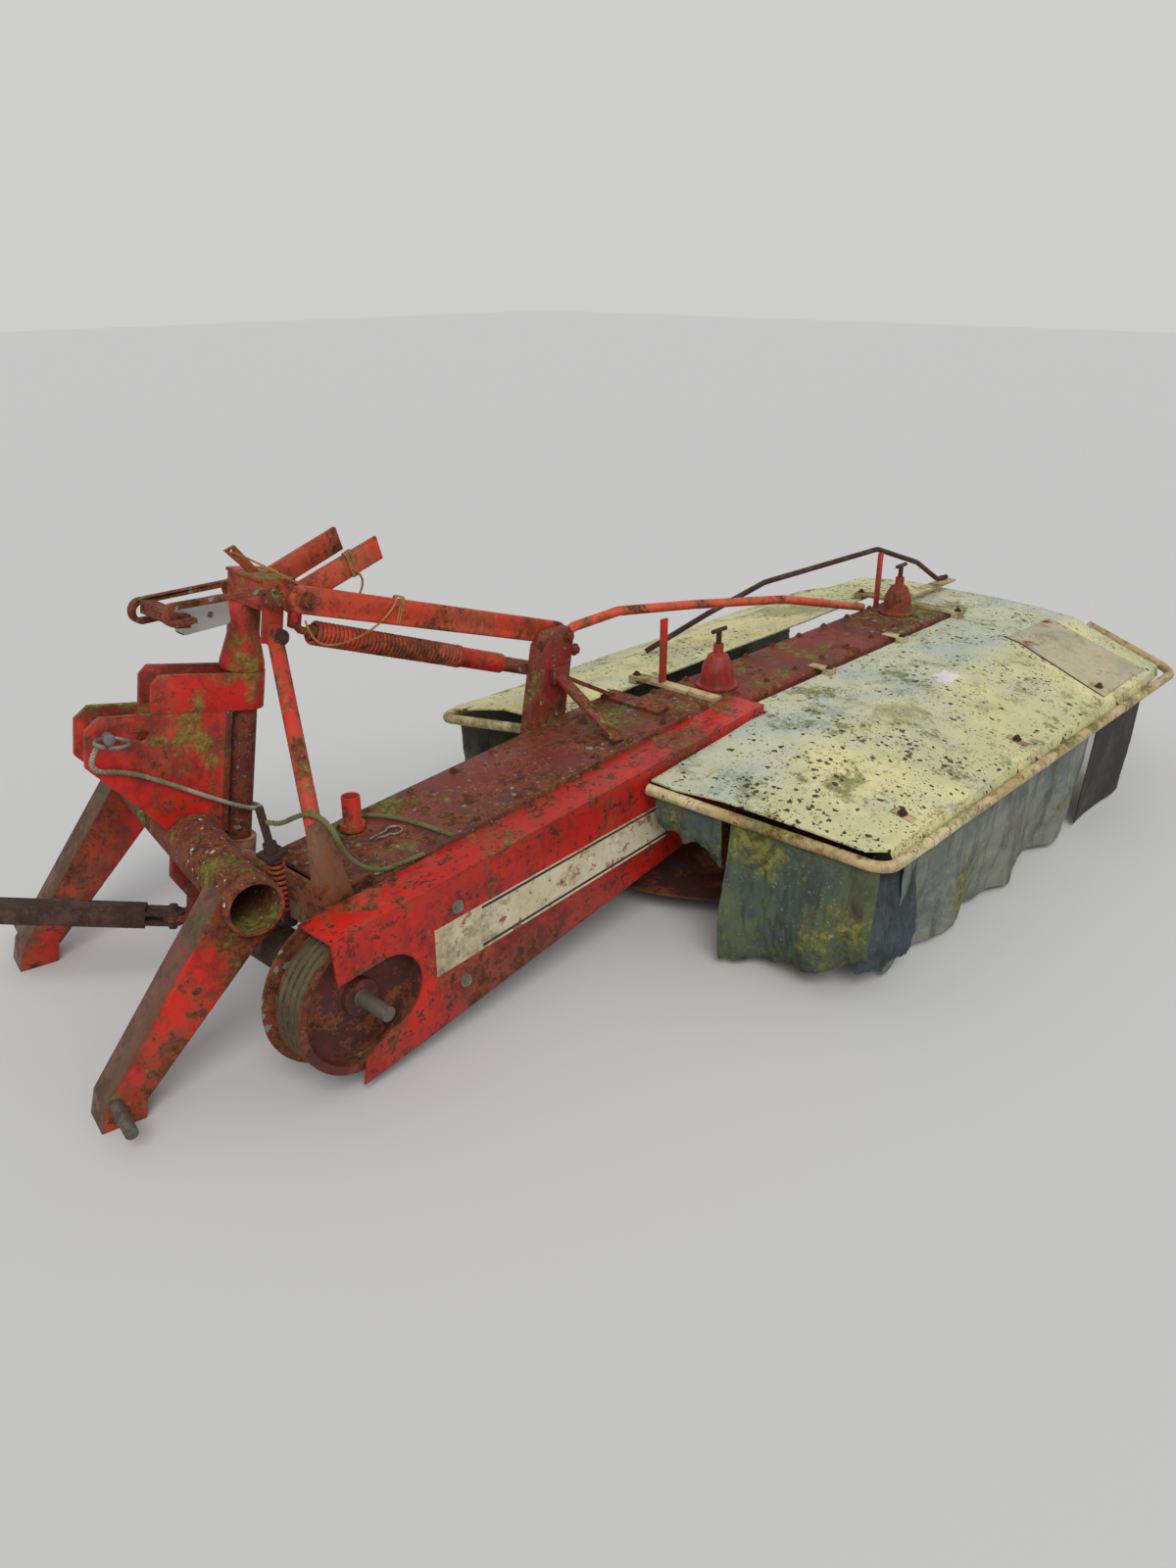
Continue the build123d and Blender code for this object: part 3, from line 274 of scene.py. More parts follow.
class Weather:
    """The shared shader group for rust, chips, grime, moss, streaks and worn edges.

    Rust, chips, grime and moss each start where a noise passes a line. Their entries in lines hold the line's
    place for a control of 0, how far the control lowers it, and how soft the start is.
    """

    name = "weather"
    inputs = {"Rust": 0.3, "Chips": 0.3, "Grime": 0.3, "Moss": 0.2, "Edge": 0.5, "Scale": 1.0}
    outputs = ("Rust", "Rim", "Chips", "Grime", "Moss", "Streaks", "Fade", "Height")
    lines: dict[str, Point] = {
        "Rust": (0.6, 0.16, 0.022),
        "Chips": (0.62, 0.17, 0.014),
        "Grime": (0.64, 0.3, 0.1),
        "Moss": (0.64, 0.25, 0.07),
    }
    rim_width = 0.035
    edge_radius = 0.008
    edge_ramp: Ramp = (0.01, 0.2)
    edge_rust = 0.17
    edge_chips = 0.22
    rust_mix: Sequence[float] = (0.6, 0.4)
    chip_mix: Sequence[float] = (0.55, 0.45)
    patch_grain: Grain = (3.4, 9, 0.7)
    chip_grain: Grain = (19, 9, 0.72)
    flake_grain: Grain = (58, 6, 0.7)
    grit_grain: Grain = (170, 3, 0.6)
    film_shift: Point = (4.1, 1.7, 2.3)
    film_grain: Grain = (2.6, 9, 0.74)
    growth_shift: Point = (9.3, 5.2, 0.4)
    growth_grain: Grain = (4.8, 10, 0.78)
    growth_on_top = 0.06
    wander_grain: Grain = (5.0, 3, 0.6)
    wander = 0.35
    drip_stretch: Point = (26, 26, 1.9)
    drip_grain: Grain = (1.0, 7, 0.66)
    drip_ramp: Ramp = (0.5, 0.6)
    upright_ramp: Ramp = (0.75, 0.35)
    fade_grain: Grain = (1.9, 7, 0.66)
    fade_ramp: Ramp = (0.44, 0.57)
    grit_height = 0.2
    flake_height = 0.3
    chip_height = -0.4
    rust_height: Sequence[float] = (0.8, -0.5)
    moss_height = 0.8

    @classmethod
    def edges(cls, graph: Graph, normal: Any) -> Socket:
        """Where the surface bends, from 0 to 1."""
        bevel = graph.add("ShaderNodeBevel", {"Radius": cls.edge_radius}, samples=3)
        along = graph.add("ShaderNodeVectorMath", {0: bevel, 1: normal}, operation="DOT_PRODUCT")
        return graph.step(graph.minus(1.0, along.outputs["Value"]), *cls.edge_ramp)

    @classmethod
    def streaks(cls, graph: Graph, scaled: Any, level: Any) -> Socket:
        """Dirt that ran down the upright faces."""
        bent = graph.shifted(scaled, graph.times(graph.noise(scaled, *cls.wander_grain), cls.wander))
        drips = graph.patches(graph.stretched(bent, cls.drip_stretch), cls.drip_grain, cls.drip_ramp)
        return graph.times(drips, graph.step(graph.maths("ABSOLUTE", level), *cls.upright_ramp))

    @classmethod
    def build(cls) -> Tree:
        """Makes the group once and returns it."""
        made = bpy.data.node_groups.get(cls.name)
        if made:
            return made
        graph, source, sink = new_group(cls.name, cls.inputs, cls.outputs)
        control = source.outputs
        scaled = graph.add(
            "ShaderNodeVectorMath", {0: graph.place(), 3: control["Scale"]}, operation="SCALE"
        )
        normal = graph.add("ShaderNodeNewGeometry").outputs["Normal"]
        level = graph.add("ShaderNodeSeparateXYZ", {0: normal}).outputs["Z"]
        worn = graph.times(cls.edges(graph, normal), control["Edge"])
        patches, chips, flakes, grit = (
            graph.noise(scaled, *grain)
            for grain in (cls.patch_grain, cls.chip_grain, cls.flake_grain, cls.grit_grain)
        )

        def past(label: str, value: Any) -> tuple[Any, Any]:
            """The line that a control lowers, and how far a value is past it."""
            start, gain, width = cls.lines[label]
            line = graph.minus(start, graph.times(control[label], gain))
            return line, graph.step(value, line, graph.plus(line, width))

        rust_value = graph.plus(*map(graph.times, (patches, chips), cls.rust_mix))
        rust_value = graph.line(worn, cls.edge_rust, rust_value)
        rust_line, rust = past("Rust", rust_value)
        rim = graph.step(rust_value, graph.minus(rust_line, cls.rim_width), rust_line)
        chip_value = graph.plus(*map(graph.times, (chips, flakes), cls.chip_mix))
        chipped = past("Chips", graph.line(worn, cls.edge_chips, chip_value))[1]
        film = graph.noise(graph.shifted(scaled, cls.film_shift), *cls.film_grain)
        growth = graph.noise(graph.shifted(scaled, cls.growth_shift), *cls.growth_grain)
        moss = past("Moss", graph.line(level, cls.growth_on_top, growth))[1]
        height = graph.line(grit, cls.grit_height, graph.times(flakes, cls.flake_height))
        height = graph.line(chipped, cls.chip_height, height)
        height = graph.line(rust, graph.line(grit, *cls.rust_height), height)
        values = (
            rust, graph.minus(rim, rust, clamp=True), chipped, past("Grime", film)[1], moss,
            cls.streaks(graph, scaled, level), graph.patches(scaled, cls.fade_grain, cls.fade_ramp),
            graph.line(moss, graph.times(grit, cls.moss_height), height),
        )
        for label, value in zip(cls.outputs, values):
            graph.feed(sink.inputs[label], value)
        return graph.tree


class Lichen:
    """The shared shader group for ragged round spots of growth."""

    name = "lichen"
    inputs = {"Scale": 60.0, "Amount": 0.5, "Spread": 3.4}
    shake = 0.022
    shake_scale = 55.0
    shake_detail = 3.0
    spread_detail: Sequence[float] = (5, 0.68)
    presence = 0.22
    presence_ramp: Ramp = (0.54, 0.72)
    smallest = 0.2
    growth = 1.15
    ragged_grain: Grain = (300, 3, 0.7)
    ragged = 0.5
    rim_outside = 0.04
    rim_inside = 0.03

    @classmethod
    def build(cls) -> Tree:
        """Makes the group once and returns it."""
        made = bpy.data.node_groups.get(cls.name)
        if made:
            return made
        graph, source, sink = new_group(cls.name, cls.inputs, ("Spots",))
        place = graph.place()
        wander = graph.add(
            "ShaderNodeTexNoise", {"Vector": place, "Scale": cls.shake_scale, "Detail": cls.shake_detail}
        )
        shaken = graph.add(
            "ShaderNodeVectorMath", {0: wander.outputs["Color"], 1: (cls.shake,) * 3, 2: place},
            operation="MULTIPLY_ADD",
        )
        cells = graph.add(
            "ShaderNodeTexVoronoi",
            {"Vector": shaken, "Scale": source.outputs["Scale"], "Randomness": 1.0},
        )
        chance, bulk = graph.add("ShaderNodeSeparateColor", {0: cells.outputs["Color"]}).outputs[:2]
        spread = graph.noise(place, source.outputs["Spread"], *cls.spread_detail)
        present = graph.step(graph.plus(graph.times(chance, cls.presence), spread), *cls.presence_ramp)
        size = graph.line(graph.times(bulk, bulk), cls.growth, cls.smallest)
        reach = graph.times(graph.times(present, size), source.outputs["Amount"])
        ragged = graph.line(graph.noise(place, *cls.ragged_grain), cls.ragged, -cls.ragged / 2)
        distance = graph.plus(cells.outputs["Distance"], ragged)
        outside, inside = graph.plus(reach, cls.rim_outside), graph.minus(reach, cls.rim_inside)
        spots = graph.step(distance, outside, inside)
        graph.feed(sink.inputs["Spots"], spots)
        return graph.tree


def place_group(graph: Graph, tree: Tree, **values: float) -> Node:
    """Adds a shader group to a material with its own values."""
    node = graph.add("ShaderNodeGroup", node_tree=tree)
    for name, value in values.items():
        graph.feed(node.inputs[name], value)
    return node


def new_material(name: str) -> tuple[bpy.types.Material, Graph, Node]:
    """Starts a material.

    Args:
        name: The material's name.

    Returns:
        The material, its graph and its surface shader.
    """
    material = bpy.data.materials.new(name)
    material.use_nodes = True
    material.node_tree.nodes.clear()
    graph = Graph(material.node_tree)
    shader = graph.add("ShaderNodeBsdfPrincipled")
    graph.add("ShaderNodeOutputMaterial", {"Surface": shader})
    return material, graph, shader


RUST_DARK = srgb(62, 36, 26)
RUST_LIGHT = srgb(136, 74, 42)
MOSS_DARK = srgb(66, 72, 30)
MOSS_LIGHT = srgb(132, 134, 62)
GRIME = srgb(52, 40, 34)
# The brown that darkens the faces that look along -X.
MINUS_X_BROWN = srgb(86, 68, 52)
LICHEN_DARK = srgb(66, 62, 42)
LICHEN_PALE = srgb(176, 178, 162)


@dataclass(frozen=True)
class Paint:
    """A weathered coat of paint over steel."""

    name: str
    colour: Colour
    faded: Colour
    under: Colour = srgb(112, 58, 42)
    dirt: Colour = GRIME
    rust: float = 0.35
    chips: float = 0.35
    grime: float = 0.3
    moss: float = 0.2
    edge: float = 0.6
    streaks: float = 0.3
    scale: float = 1.0
    rough: float = 0.48
    lichen: float = 0.0
    lichen_scale: float = 70.0
    lichen_colour: Colour = LICHEN_DARK
    tint: Colour | None = None
    tint_from: Ramp = (0.0, 0.0)
    # How far the faces that look along -X are darkened towards a brown.
    minus_x_darkening: float = 0.0

    lichen_layers: ClassVar[tuple[tuple[float, float], ...]] = ((1.0, 1.0), (2.6, 0.85))
    lichen_spread: ClassVar[float] = 3.4
    mottle_grain: ClassVar[Grain] = (14, 8, 0.74)
    mottle_ramp: ClassVar[Ramp] = (0.44, 0.6)
    wash_grain: ClassVar[Grain] = (4.2, 8, 0.7)
    wash_ramp: ClassVar[Ramp] = (0.48, 0.58)
    tint_to: ClassVar[Ramp] = (0.12, 0.0)
    rust_grain: ClassVar[Grain] = (44, 8, 0.76)
    rust_ramp: ClassVar[Ramp] = (0.36, 0.66)
    moss_grain: ClassVar[Grain] = (60, 6, 0.7)
    moss_ramp: ClassVar[Ramp] = (0.35, 0.65)
    side_ramp: ClassVar[Ramp] = (-0.35, -0.85)
    side_mottle: ClassVar[float] = -0.3
    tint_band: ClassVar[float] = 0.5
    tint_wash: ClassVar[float] = 0.28
    mottle_cover: ClassVar[float] = 0.18
    cover: ClassVar[dict[str, float]] = {
        "Grime": 0.62, "Rim": 0.7, "Chips": 1.0, "Rust": 0.94, "Moss": 0.78
    }
    dulling: ClassVar[dict[str, float]] = {"Rust": 0.34, "Grime": 0.14, "Moss": 0.25}
    shine: ClassVar[float] = 0.3
    relief: ClassVar[tuple[float, float]] = (0.75, 0.0018)

    def tinted(self, graph: Graph, place: Any, coat: Any) -> Socket:
        """Tints the coat over a band along Y and in washed patches.

        Args:
            graph: The material's graph.
            place: Where the surface is.
            coat: The coat so far.

        Returns:
            The coat with its tint.
        """
        wash = graph.patches(place, self.wash_grain, self.wash_ramp)
        station = graph.add("ShaderNodeSeparateXYZ", {0: place}).outputs["Y"]
        band = graph.times(graph.step(station, *self.tint_from), graph.step(station, *self.tint_to))
        mask = graph.line(band, self.tint_band, graph.times(wash, self.tint_wash))
        return graph.mix(mask, coat, self.tint)

    def darkened_minus_x(self, graph: Graph, mottle: Any, coat: Any) -> Socket:
        """The coat turned a darker brown on the faces that look along -X."""
        normal = graph.add("ShaderNodeNewGeometry").outputs["Normal"]
        across = graph.add("ShaderNodeSeparateXYZ", {0: normal}).outputs["X"]
        side = graph.step(graph.line(mottle, self.side_mottle, across), *self.side_ramp)
        return graph.stained(coat, MINUS_X_BROWN, side, self.minus_x_darkening)

    def spotted(self, graph: Graph, coat: Any) -> Socket:
        """Adds large and small spots of lichen.

        Args:
            graph: The material's graph.
            coat: The coat so far.

        Returns:
            The coat with its spots.
        """
        for scale, share in self.lichen_layers:
            spots = place_group(
                graph, Lichen.build(), Scale=self.lichen_scale * scale, Amount=self.lichen * share,
                Spread=self.lichen_spread * scale,
            )
            coat = graph.mix(spots, coat, self.lichen_colour)
        return coat

    def build(self) -> bpy.types.Material:
        """Makes the material and returns it."""
        material, graph, shader = new_material(self.name)
        worn = place_group(
            graph, Weather.build(), Rust=self.rust, Chips=self.chips, Grime=self.grime, Moss=self.moss,
            Edge=self.edge, Scale=self.scale,
        ).outputs
        place = graph.place()
        mottle = graph.patches(place, self.mottle_grain, self.mottle_ramp)
        coat = graph.mix(worn["Fade"], self.colour, self.faded)
        if self.tint:
            coat = self.tinted(graph, place, coat)
        rust = graph.mix(graph.patches(place, self.rust_grain, self.rust_ramp), RUST_DARK, RUST_LIGHT)
        green = graph.mix(graph.patches(place, self.moss_grain, self.moss_ramp), MOSS_DARK, MOSS_LIGHT)
        coat = graph.stained(coat, self.under, mottle, self.mottle_cover)
        cover = {"Streaks": self.streaks, **self.cover}
        for label, colour in (
            ("Grime", self.dirt), ("Streaks", self.dirt), ("Rim", RUST_LIGHT), ("Chips", self.under),
            ("Rust", rust), ("Moss", green),
        ):
            coat = graph.stained(coat, colour, worn[label], cover[label])
        # Faces that look along -X are darkened towards a brown.
        if self.minus_x_darkening:
            coat = self.darkened_minus_x(graph, mottle, coat)
        if self.lichen:
            coat = self.spotted(graph, coat)
        dull: Any = self.rough
        for label, gain in self.dulling.items():
            dull = graph.line(worn[label], gain, dull, clamp=True)
        graph.surface(
            shader, {"Base Color": coat, "Specular IOR Level": self.shine, "Roughness": dull},
            (*self.relief, worn["Height"]),
        )
        return material


@dataclass(frozen=True)
class Metal:
    """Bare or rusty metal.

    Its blotches start where a noise passes a line. `blotch_line` holds the line's place for a share of 0, how
    far the share lowers it, and how soft the start is.
    """

    name: str
    colour: Colour
    stain: Colour
    share: float = 0.5
    metallic: float = 0.7
    rough: float = 0.5
    blotch_grain: ClassVar[Grain] = (17, 7, 0.7)
    pit_grain: ClassVar[Grain] = (190, 3, 0.6)
    pit_ramp: ClassVar[Ramp] = (0.3, 0.75)
    pale_stain: ClassVar[float] = 1.9
    blotch_line: ClassVar[Point] = (0.75, 0.5, 0.16)
    stain_rough: ClassVar[float] = 0.35
    relief: ClassVar[tuple[float, float]] = (0.5, 0.001)

    def build(self) -> bpy.types.Material:
        """Makes the material and returns it."""
        material, graph, shader = new_material(self.name)
        place = graph.place()
        start, gain, width = self.blotch_line
        line = start - gain * self.share
        stained = graph.patches(place, self.blotch_grain, (line, line + width))
        pitted = graph.noise(place, *self.pit_grain)
        pale = tuple(channel * self.pale_stain for channel in self.stain)
        tone = graph.mix(graph.step(pitted, *self.pit_ramp), self.stain, pale)
        graph.surface(
            shader,
            {
                "Base Color": graph.mix(stained, self.colour, tone),
                "Metallic": graph.line(stained, -self.metallic, self.metallic, clamp=True),
                "Roughness": graph.line(stained, self.stain_rough, self.rough, clamp=True),
            },
            (*self.relief, pitted),
        )
        return material


@dataclass(frozen=True)
class Rubber:
    """Dusty black rubber."""

    name: str
    colour: Colour
    dust: Colour
    dust_grain: ClassVar[Grain] = (9, 7, 0.7)
    dust_ramp: ClassVar[Ramp] = (0.4, 0.75)
    skin_grain: ClassVar[Grain] = (160, 4, 0.7)
    rough: ClassVar[float] = 0.82
    relief: ClassVar[tuple[float, float]] = (0.4, 0.001)

    def build(self) -> bpy.types.Material:
        """Makes the material and returns it."""
        material, graph, shader = new_material(self.name)
        place = graph.place()
        dusty = graph.patches(place, self.dust_grain, self.dust_ramp)
        graph.surface(
            shader, {"Base Color": graph.mix(dusty, self.colour, self.dust), "Roughness": self.rough},
            (*self.relief, graph.noise(place, *self.skin_grain)),
        )
        return material


@dataclass(frozen=True)
class Canvas:
    """Coated cloth, mossy in patches, with dirt that ran down it.

    `growth_line` holds the place of the moss's line for a moss of 0, how far the moss lowers it, and how soft
    the start is.
    """

    name: str
    colour: Colour
    stain: Colour
    moss: float = 0.5
    pale: float = 0.3
    thread: ClassVar[float] = 1800.0
    mottle_grain: ClassVar[Grain] = (5.5, 9, 0.72)
    mottle_ramp: ClassVar[Ramp] = (0.44, 0.57)
    streak_stretch: ClassVar[Point] = (22, 22, 3)
    streak_grain: ClassVar[Grain] = (1.0, 7, 0.7)
    streak_ramp: ClassVar[Ramp] = (0.5, 0.6)
    growth_grain: ClassVar[Grain] = (4.0, 10, 0.8)
    moss_grain: ClassVar[Grain] = (40, 7, 0.72)
    moss_ramp: ClassVar[Ramp] = (0.38, 0.62)
    dust_scale: ClassVar[float] = 150.0
    dust_spread: ClassVar[float] = 5.0
    wrinkle_grain: ClassVar[Grain] = (22, 8, 0.7)
    streak_cover: ClassVar[float] = 0.4
    growth_line: ClassVar[Point] = (0.62, 0.2, 0.08)
    growth_cover: ClassVar[float] = 0.85
    dust_cover: ClassVar[float] = 0.3
    thread_height: ClassVar[float] = 0.1
    moss_height: ClassVar[float] = 0.25
    rough: ClassVar[float] = 0.86
    shine: ClassVar[float] = 0.25
    relief: ClassVar[tuple[float, float]] = (0.7, 0.004)

    def weave(self, graph: Graph) -> Socket:
        """The threads' height, from -1 to 1."""
        cloth = graph.add("ShaderNodeTexCoord").outputs["UV"]
        parts = graph.add("ShaderNodeSeparateXYZ", {0: cloth}).outputs
        warp, weft = (graph.maths("SINE", graph.times(parts[axis], self.thread)) for axis in "XY")
        return graph.times(warp, weft)

    def build(self) -> bpy.types.Material:
        """Makes the material and returns it."""
        material, graph, shader = new_material(self.name)
        place = graph.place()
        coat = graph.mix(graph.patches(place, self.mottle_grain, self.mottle_ramp), self.colour, self.stain)
        streaks = graph.patches(
            graph.stretched(place, self.streak_stretch), self.streak_grain, self.streak_ramp
        )
        coat = graph.stained(coat, GRIME, streaks, self.streak_cover)
        start, gain, width = self.growth_line
        line = start - gain * self.moss
        growth = graph.patches(place, self.growth_grain, (line, line + width))
        mossy = graph.times(growth, self.growth_cover)
        green = graph.mix(graph.patches(place, self.moss_grain, self.moss_ramp), MOSS_DARK, MOSS_LIGHT)
        coat = graph.mix(mossy, coat, green)
        dust = place_group(
            graph, Lichen.build(), Scale=self.dust_scale, Amount=self.pale, Spread=self.dust_spread
        )
        coat = graph.stained(coat, LICHEN_PALE, dust, self.dust_cover)
        wrinkles = graph.noise(place, *self.wrinkle_grain)
        height = graph.line(self.weave(graph), self.thread_height, wrinkles)
        graph.surface(
            shader, {"Base Color": coat, "Roughness": self.rough, "Specular IOR Level": self.shine},
            (*self.relief, graph.line(mossy, self.moss_height, height)),
        )
        return material


@dataclass(frozen=True)
class Fibre:
    """Dirty rope fibre."""

    name: str
    colour: Colour
    stain: Colour
    blotch_grain: ClassVar[Grain] = (12, 7, 0.7)
    blotch_ramp: ClassVar[Ramp] = (0.4, 0.62)
    hair_grain: ClassVar[Grain] = (900, 3, 0.7)
    hair_ramp: ClassVar[Ramp] = (0.5, 0.7)
    hair_cover: ClassVar[float] = 0.4
    rough: ClassVar[float] = 0.9
    relief: ClassVar[tuple[float, float]] = (0.6, 0.0006)

    def build(self) -> bpy.types.Material:
        """Makes the material and returns it."""
        material, graph, shader = new_material(self.name)
        place = graph.place()
        blotch = graph.patches(place, self.blotch_grain, self.blotch_ramp)
        hairs = graph.noise(place, *self.hair_grain)
        coat = graph.mix(blotch, self.colour, self.stain)
        coat = graph.stained(coat, GRIME, graph.step(hairs, *self.hair_ramp), self.hair_cover)
        graph.surface(shader, {"Base Color": coat, "Roughness": self.rough}, (*self.relief, hairs))
        return material


class Finish(Enum):
    """The mower's finishes; each is made once."""

    RED = Paint(
        "worn_red_paint", srgb(204, 36, 27), srgb(186, 62, 46), rust=0.36, chips=0.38, grime=0.4, moss=0.34
    )
    RED_DARK = Paint(
        "worn_red_paint_grimy", srgb(132, 38, 34), srgb(98, 48, 42), rust=0.6, chips=0.5, grime=0.6,
        moss=0.34, streaks=0.4, lichen=0.3, lichen_scale=48.0, lichen_colour=srgb(122, 128, 112),
        rough=0.56,
    )
    RED_BRIGHT = Paint(
        "worn_red_paint_bright", srgb(200, 34, 24), srgb(178, 40, 32), under=srgb(96, 34, 28), rust=0.3,
        chips=0.46, grime=0.34, moss=0.18, scale=1.25, rough=0.36, streaks=0.34,
    )
    CRIMSON = Paint(
        "worn_crimson_paint", srgb(168, 32, 36), srgb(138, 42, 42), under=srgb(92, 44, 38), rust=0.34,
        chips=0.36, grime=0.5, moss=0.14,
    )
    RED_FADED = Paint(
        "worn_red_paint_faded", srgb(204, 68, 44), srgb(190, 88, 60), under=srgb(150, 66, 44), rust=0.34,
        chips=0.4, grime=0.3, moss=0.2, scale=1.5, rough=0.5,
    )
    TUBE = Paint(
        "worn_tube_paint", srgb(132, 52, 42), srgb(92, 72, 58), under=srgb(84, 58, 46), rust=0.62, chips=0.4,
        grime=0.7, moss=0.42, streaks=0.3, lichen=0.22, lichen_scale=44.0,
        lichen_colour=srgb(178, 182, 168), rough=0.66,
    )
    BEAM_TOP = Paint(
        "worn_beam_paint", srgb(116, 44, 38), srgb(92, 56, 48), under=srgb(78, 50, 42), rust=0.7, chips=0.44,
        grime=0.62, moss=0.16, lichen=0.3, lichen_scale=36.0, lichen_colour=srgb(132, 138, 124),
        rough=0.52,
    )
    # The legs' faces that look along -X are darkened towards a brown.
    LEG = Paint(
        "worn_leg_paint", srgb(214, 40, 27), srgb(192, 52, 38), under=srgb(96, 62, 44), rust=0.56, chips=0.34,
        grime=0.54, moss=0.36, rough=0.42, minus_x_darkening=0.85,
    )
    ORANGE = Paint(
        "worn_orange_paint", srgb(212, 84, 56), srgb(200, 112, 82), under=srgb(150, 84, 60), rust=0.34,
        chips=0.38, grime=0.24, moss=0.08,
    )
    CREAM = Paint(
        "worn_cream_paint", srgb(220, 212, 156), srgb(200, 198, 150), under=srgb(150, 146, 92),
        dirt=srgb(120, 120, 84), rust=-0.5, chips=0.24, grime=0.32, moss=0.14, edge=0.4, streaks=0.1,
        rough=0.66, lichen=0.44, lichen_scale=62.0, tint=srgb(170, 184, 180), tint_from=(-0.5, -0.36),
    )
    PANEL = Paint(
        "worn_end_panel_paint", srgb(186, 178, 146), srgb(168, 166, 140), under=srgb(146, 130, 100),
        dirt=srgb(128, 116, 88), rust=0.12, chips=0.2, grime=0.34, moss=0.12, edge=0.8, streaks=0.1,
        rough=0.66, lichen=0.2, lichen_scale=60.0,
    )
    CREAM_RAIL = Paint(
        "worn_cream_rail_paint", srgb(206, 192, 146), srgb(176, 152, 106), under=srgb(146, 122, 84),
        rust=0.14, chips=0.34, grime=0.36, moss=0.34, rough=0.6, lichen=0.24, lichen_scale=90.0,
    )
    BEIGE = Paint(
        "worn_bare_ear_paint", srgb(158, 118, 90), srgb(122, 88, 66), under=srgb(110, 70, 50), rust=0.5,
        chips=0.4, grime=0.4, moss=0.2,
    )
    STRIP = Paint(
        "worn_cream_strip_paint", srgb(214, 205, 176), srgb(198, 186, 150), under=srgb(150, 96, 76),
        rust=0.22, chips=0.34, grime=0.3, moss=0.2, edge=0.0, streaks=0.12, rough=0.55,
    )
    BLACK = Paint(
        "worn_black_paint", srgb(34, 32, 32), srgb(54, 48, 46), under=srgb(84, 60, 50), rust=0.3, moss=0.1
    )
    DRUM = Paint(
        "worn_drum_paint", srgb(84, 38, 32), srgb(64, 44, 38), under=srgb(58, 40, 34), rust=0.7, chips=0.4,
        grime=0.6, moss=0.2, rough=0.55,
    )
    PULLEY = Paint(
        "worn_pulley_paint", srgb(124, 40, 36), srgb(92, 40, 36), under=srgb(62, 38, 34), rust=0.34,
        chips=0.4, grime=0.5, moss=0.14, rough=0.55,
    )
    STEEL = Metal("worn_bare_steel", srgb(140, 136, 128), srgb(60, 42, 32), share=0.55)
    DARK_STEEL = Metal(
        "worn_dark_steel", srgb(106, 100, 90), srgb(58, 44, 36), share=0.6, metallic=0.5, rough=0.45
    )
    WHITE_METAL = Metal("worn_white_metal", srgb(176, 176, 172), srgb(84, 74, 64), share=0.3, metallic=0.4)
    IRON = Metal("worn_rusty_iron", srgb(86, 60, 48), srgb(50, 32, 25), share=0.75, metallic=0.3, rough=0.62)
    RED_TIP = Paint(
        "worn_red_tip_paint", srgb(214, 74, 44), srgb(190, 70, 46), rust=0.34, chips=0.4, grime=0.2, moss=0.0
    )
    BELT = Rubber("worn_belt_rubber", srgb(62, 64, 46), srgb(96, 98, 66))
    FLAP = Rubber("worn_flap_rubber", srgb(38, 34, 33), srgb(72, 64, 58))
    CANVAS_GREEN = Canvas("worn_curtain_green", srgb(88, 94, 72), srgb(70, 80, 74), moss=0.58)
    CANVAS_GREY = Canvas("worn_curtain_grey", srgb(130, 132, 120), srgb(104, 110, 106), moss=0.36, pale=0.3)
    CANVAS_BLUE = Canvas("worn_curtain_corner", srgb(74, 82, 86), srgb(58, 66, 66), moss=0.4, pale=0.2)
    ROPE = Fibre("worn_rope_fibre", srgb(164, 158, 138), srgb(110, 112, 84))
    ROPE_GREEN = Fibre("worn_rope_green", srgb(112, 114, 70), srgb(84, 88, 52))
    TWINE = Fibre("worn_twine", srgb(178, 122, 74), srgb(130, 92, 60))
    WHITE_COAT = Paint(
        "worn_white_coat", srgb(222, 222, 216), srgb(206, 206, 196), under=srgb(190, 186, 168), rust=0.0,
        chips=0.2, grime=0.2, moss=0.1, edge=0.0, streaks=0.0,
    )
    SPRING_RED = Paint(
        "worn_spring_paint", srgb(214, 76, 48), srgb(190, 84, 56), under=srgb(120, 60, 42), rust=0.3,
        chips=0.3, grime=0.3, moss=0.12, scale=2.0,
    )

    @property
    def material(self) -> bpy.types.Material:
        """The finish's material, made on first use."""
        return bpy.data.materials.get(self.value.name) or self.value.build()


def mesh_from(shape: Shape, name: str) -> Mesh:
    """A new mesh made of a shape, which is freed."""
    mesh = bpy.data.meshes.new(name)
    shape.to_mesh(mesh)
    shape.free()
    return mesh


def join_rings(shape: Shape, rings: Sequence[Sequence[Any]], closed: bool = False) -> None:
    """Joins rings of as many points each by rows of faces.

    Args:
        shape: The mesh that the rings' points are in.
        rings: The rings, in order.
        closed: Whether the last ring is joined to the first.
    """
    following = [*rings[1:], rings[0]] if closed else rings[1:]
    for first, second in zip(rings, following):
        for step, near in enumerate(first):
            after = (step + 1) % len(first)
            shape.faces.new((near, first[after], second[after], second[step]))


def linked(name: str, data: Any) -> Piece:
    """An object for some data, linked to the scene."""
    made = bpy.data.objects.new(name, data)
    bpy.context.scene.collection.objects.link(made)
    return made


def finish_mesh(mesh: Mesh, finish: Finish) -> None:
    """Gives a whole mesh one finish and smooth faces between sharp edges.

    Args:
        mesh: The mesh.
        finish: Its finish.
    """
    mesh.materials.clear()
    mesh.materials.append(finish.material)
    for face in mesh.polygons:
        face.material_index = 0
    mesh.shade_smooth()
    mesh.set_sharp_from_angle(angle=SMOOTH_ANGLE)


def new_piece(name: str, mesh: Mesh, finish: Finish) -> Piece:
    """An object for a finished mesh, linked to the scene."""
    piece = linked(name, mesh)
    finish_mesh(mesh, finish)
    log.info("made %s with %d faces", name, len(mesh.polygons))
    return piece


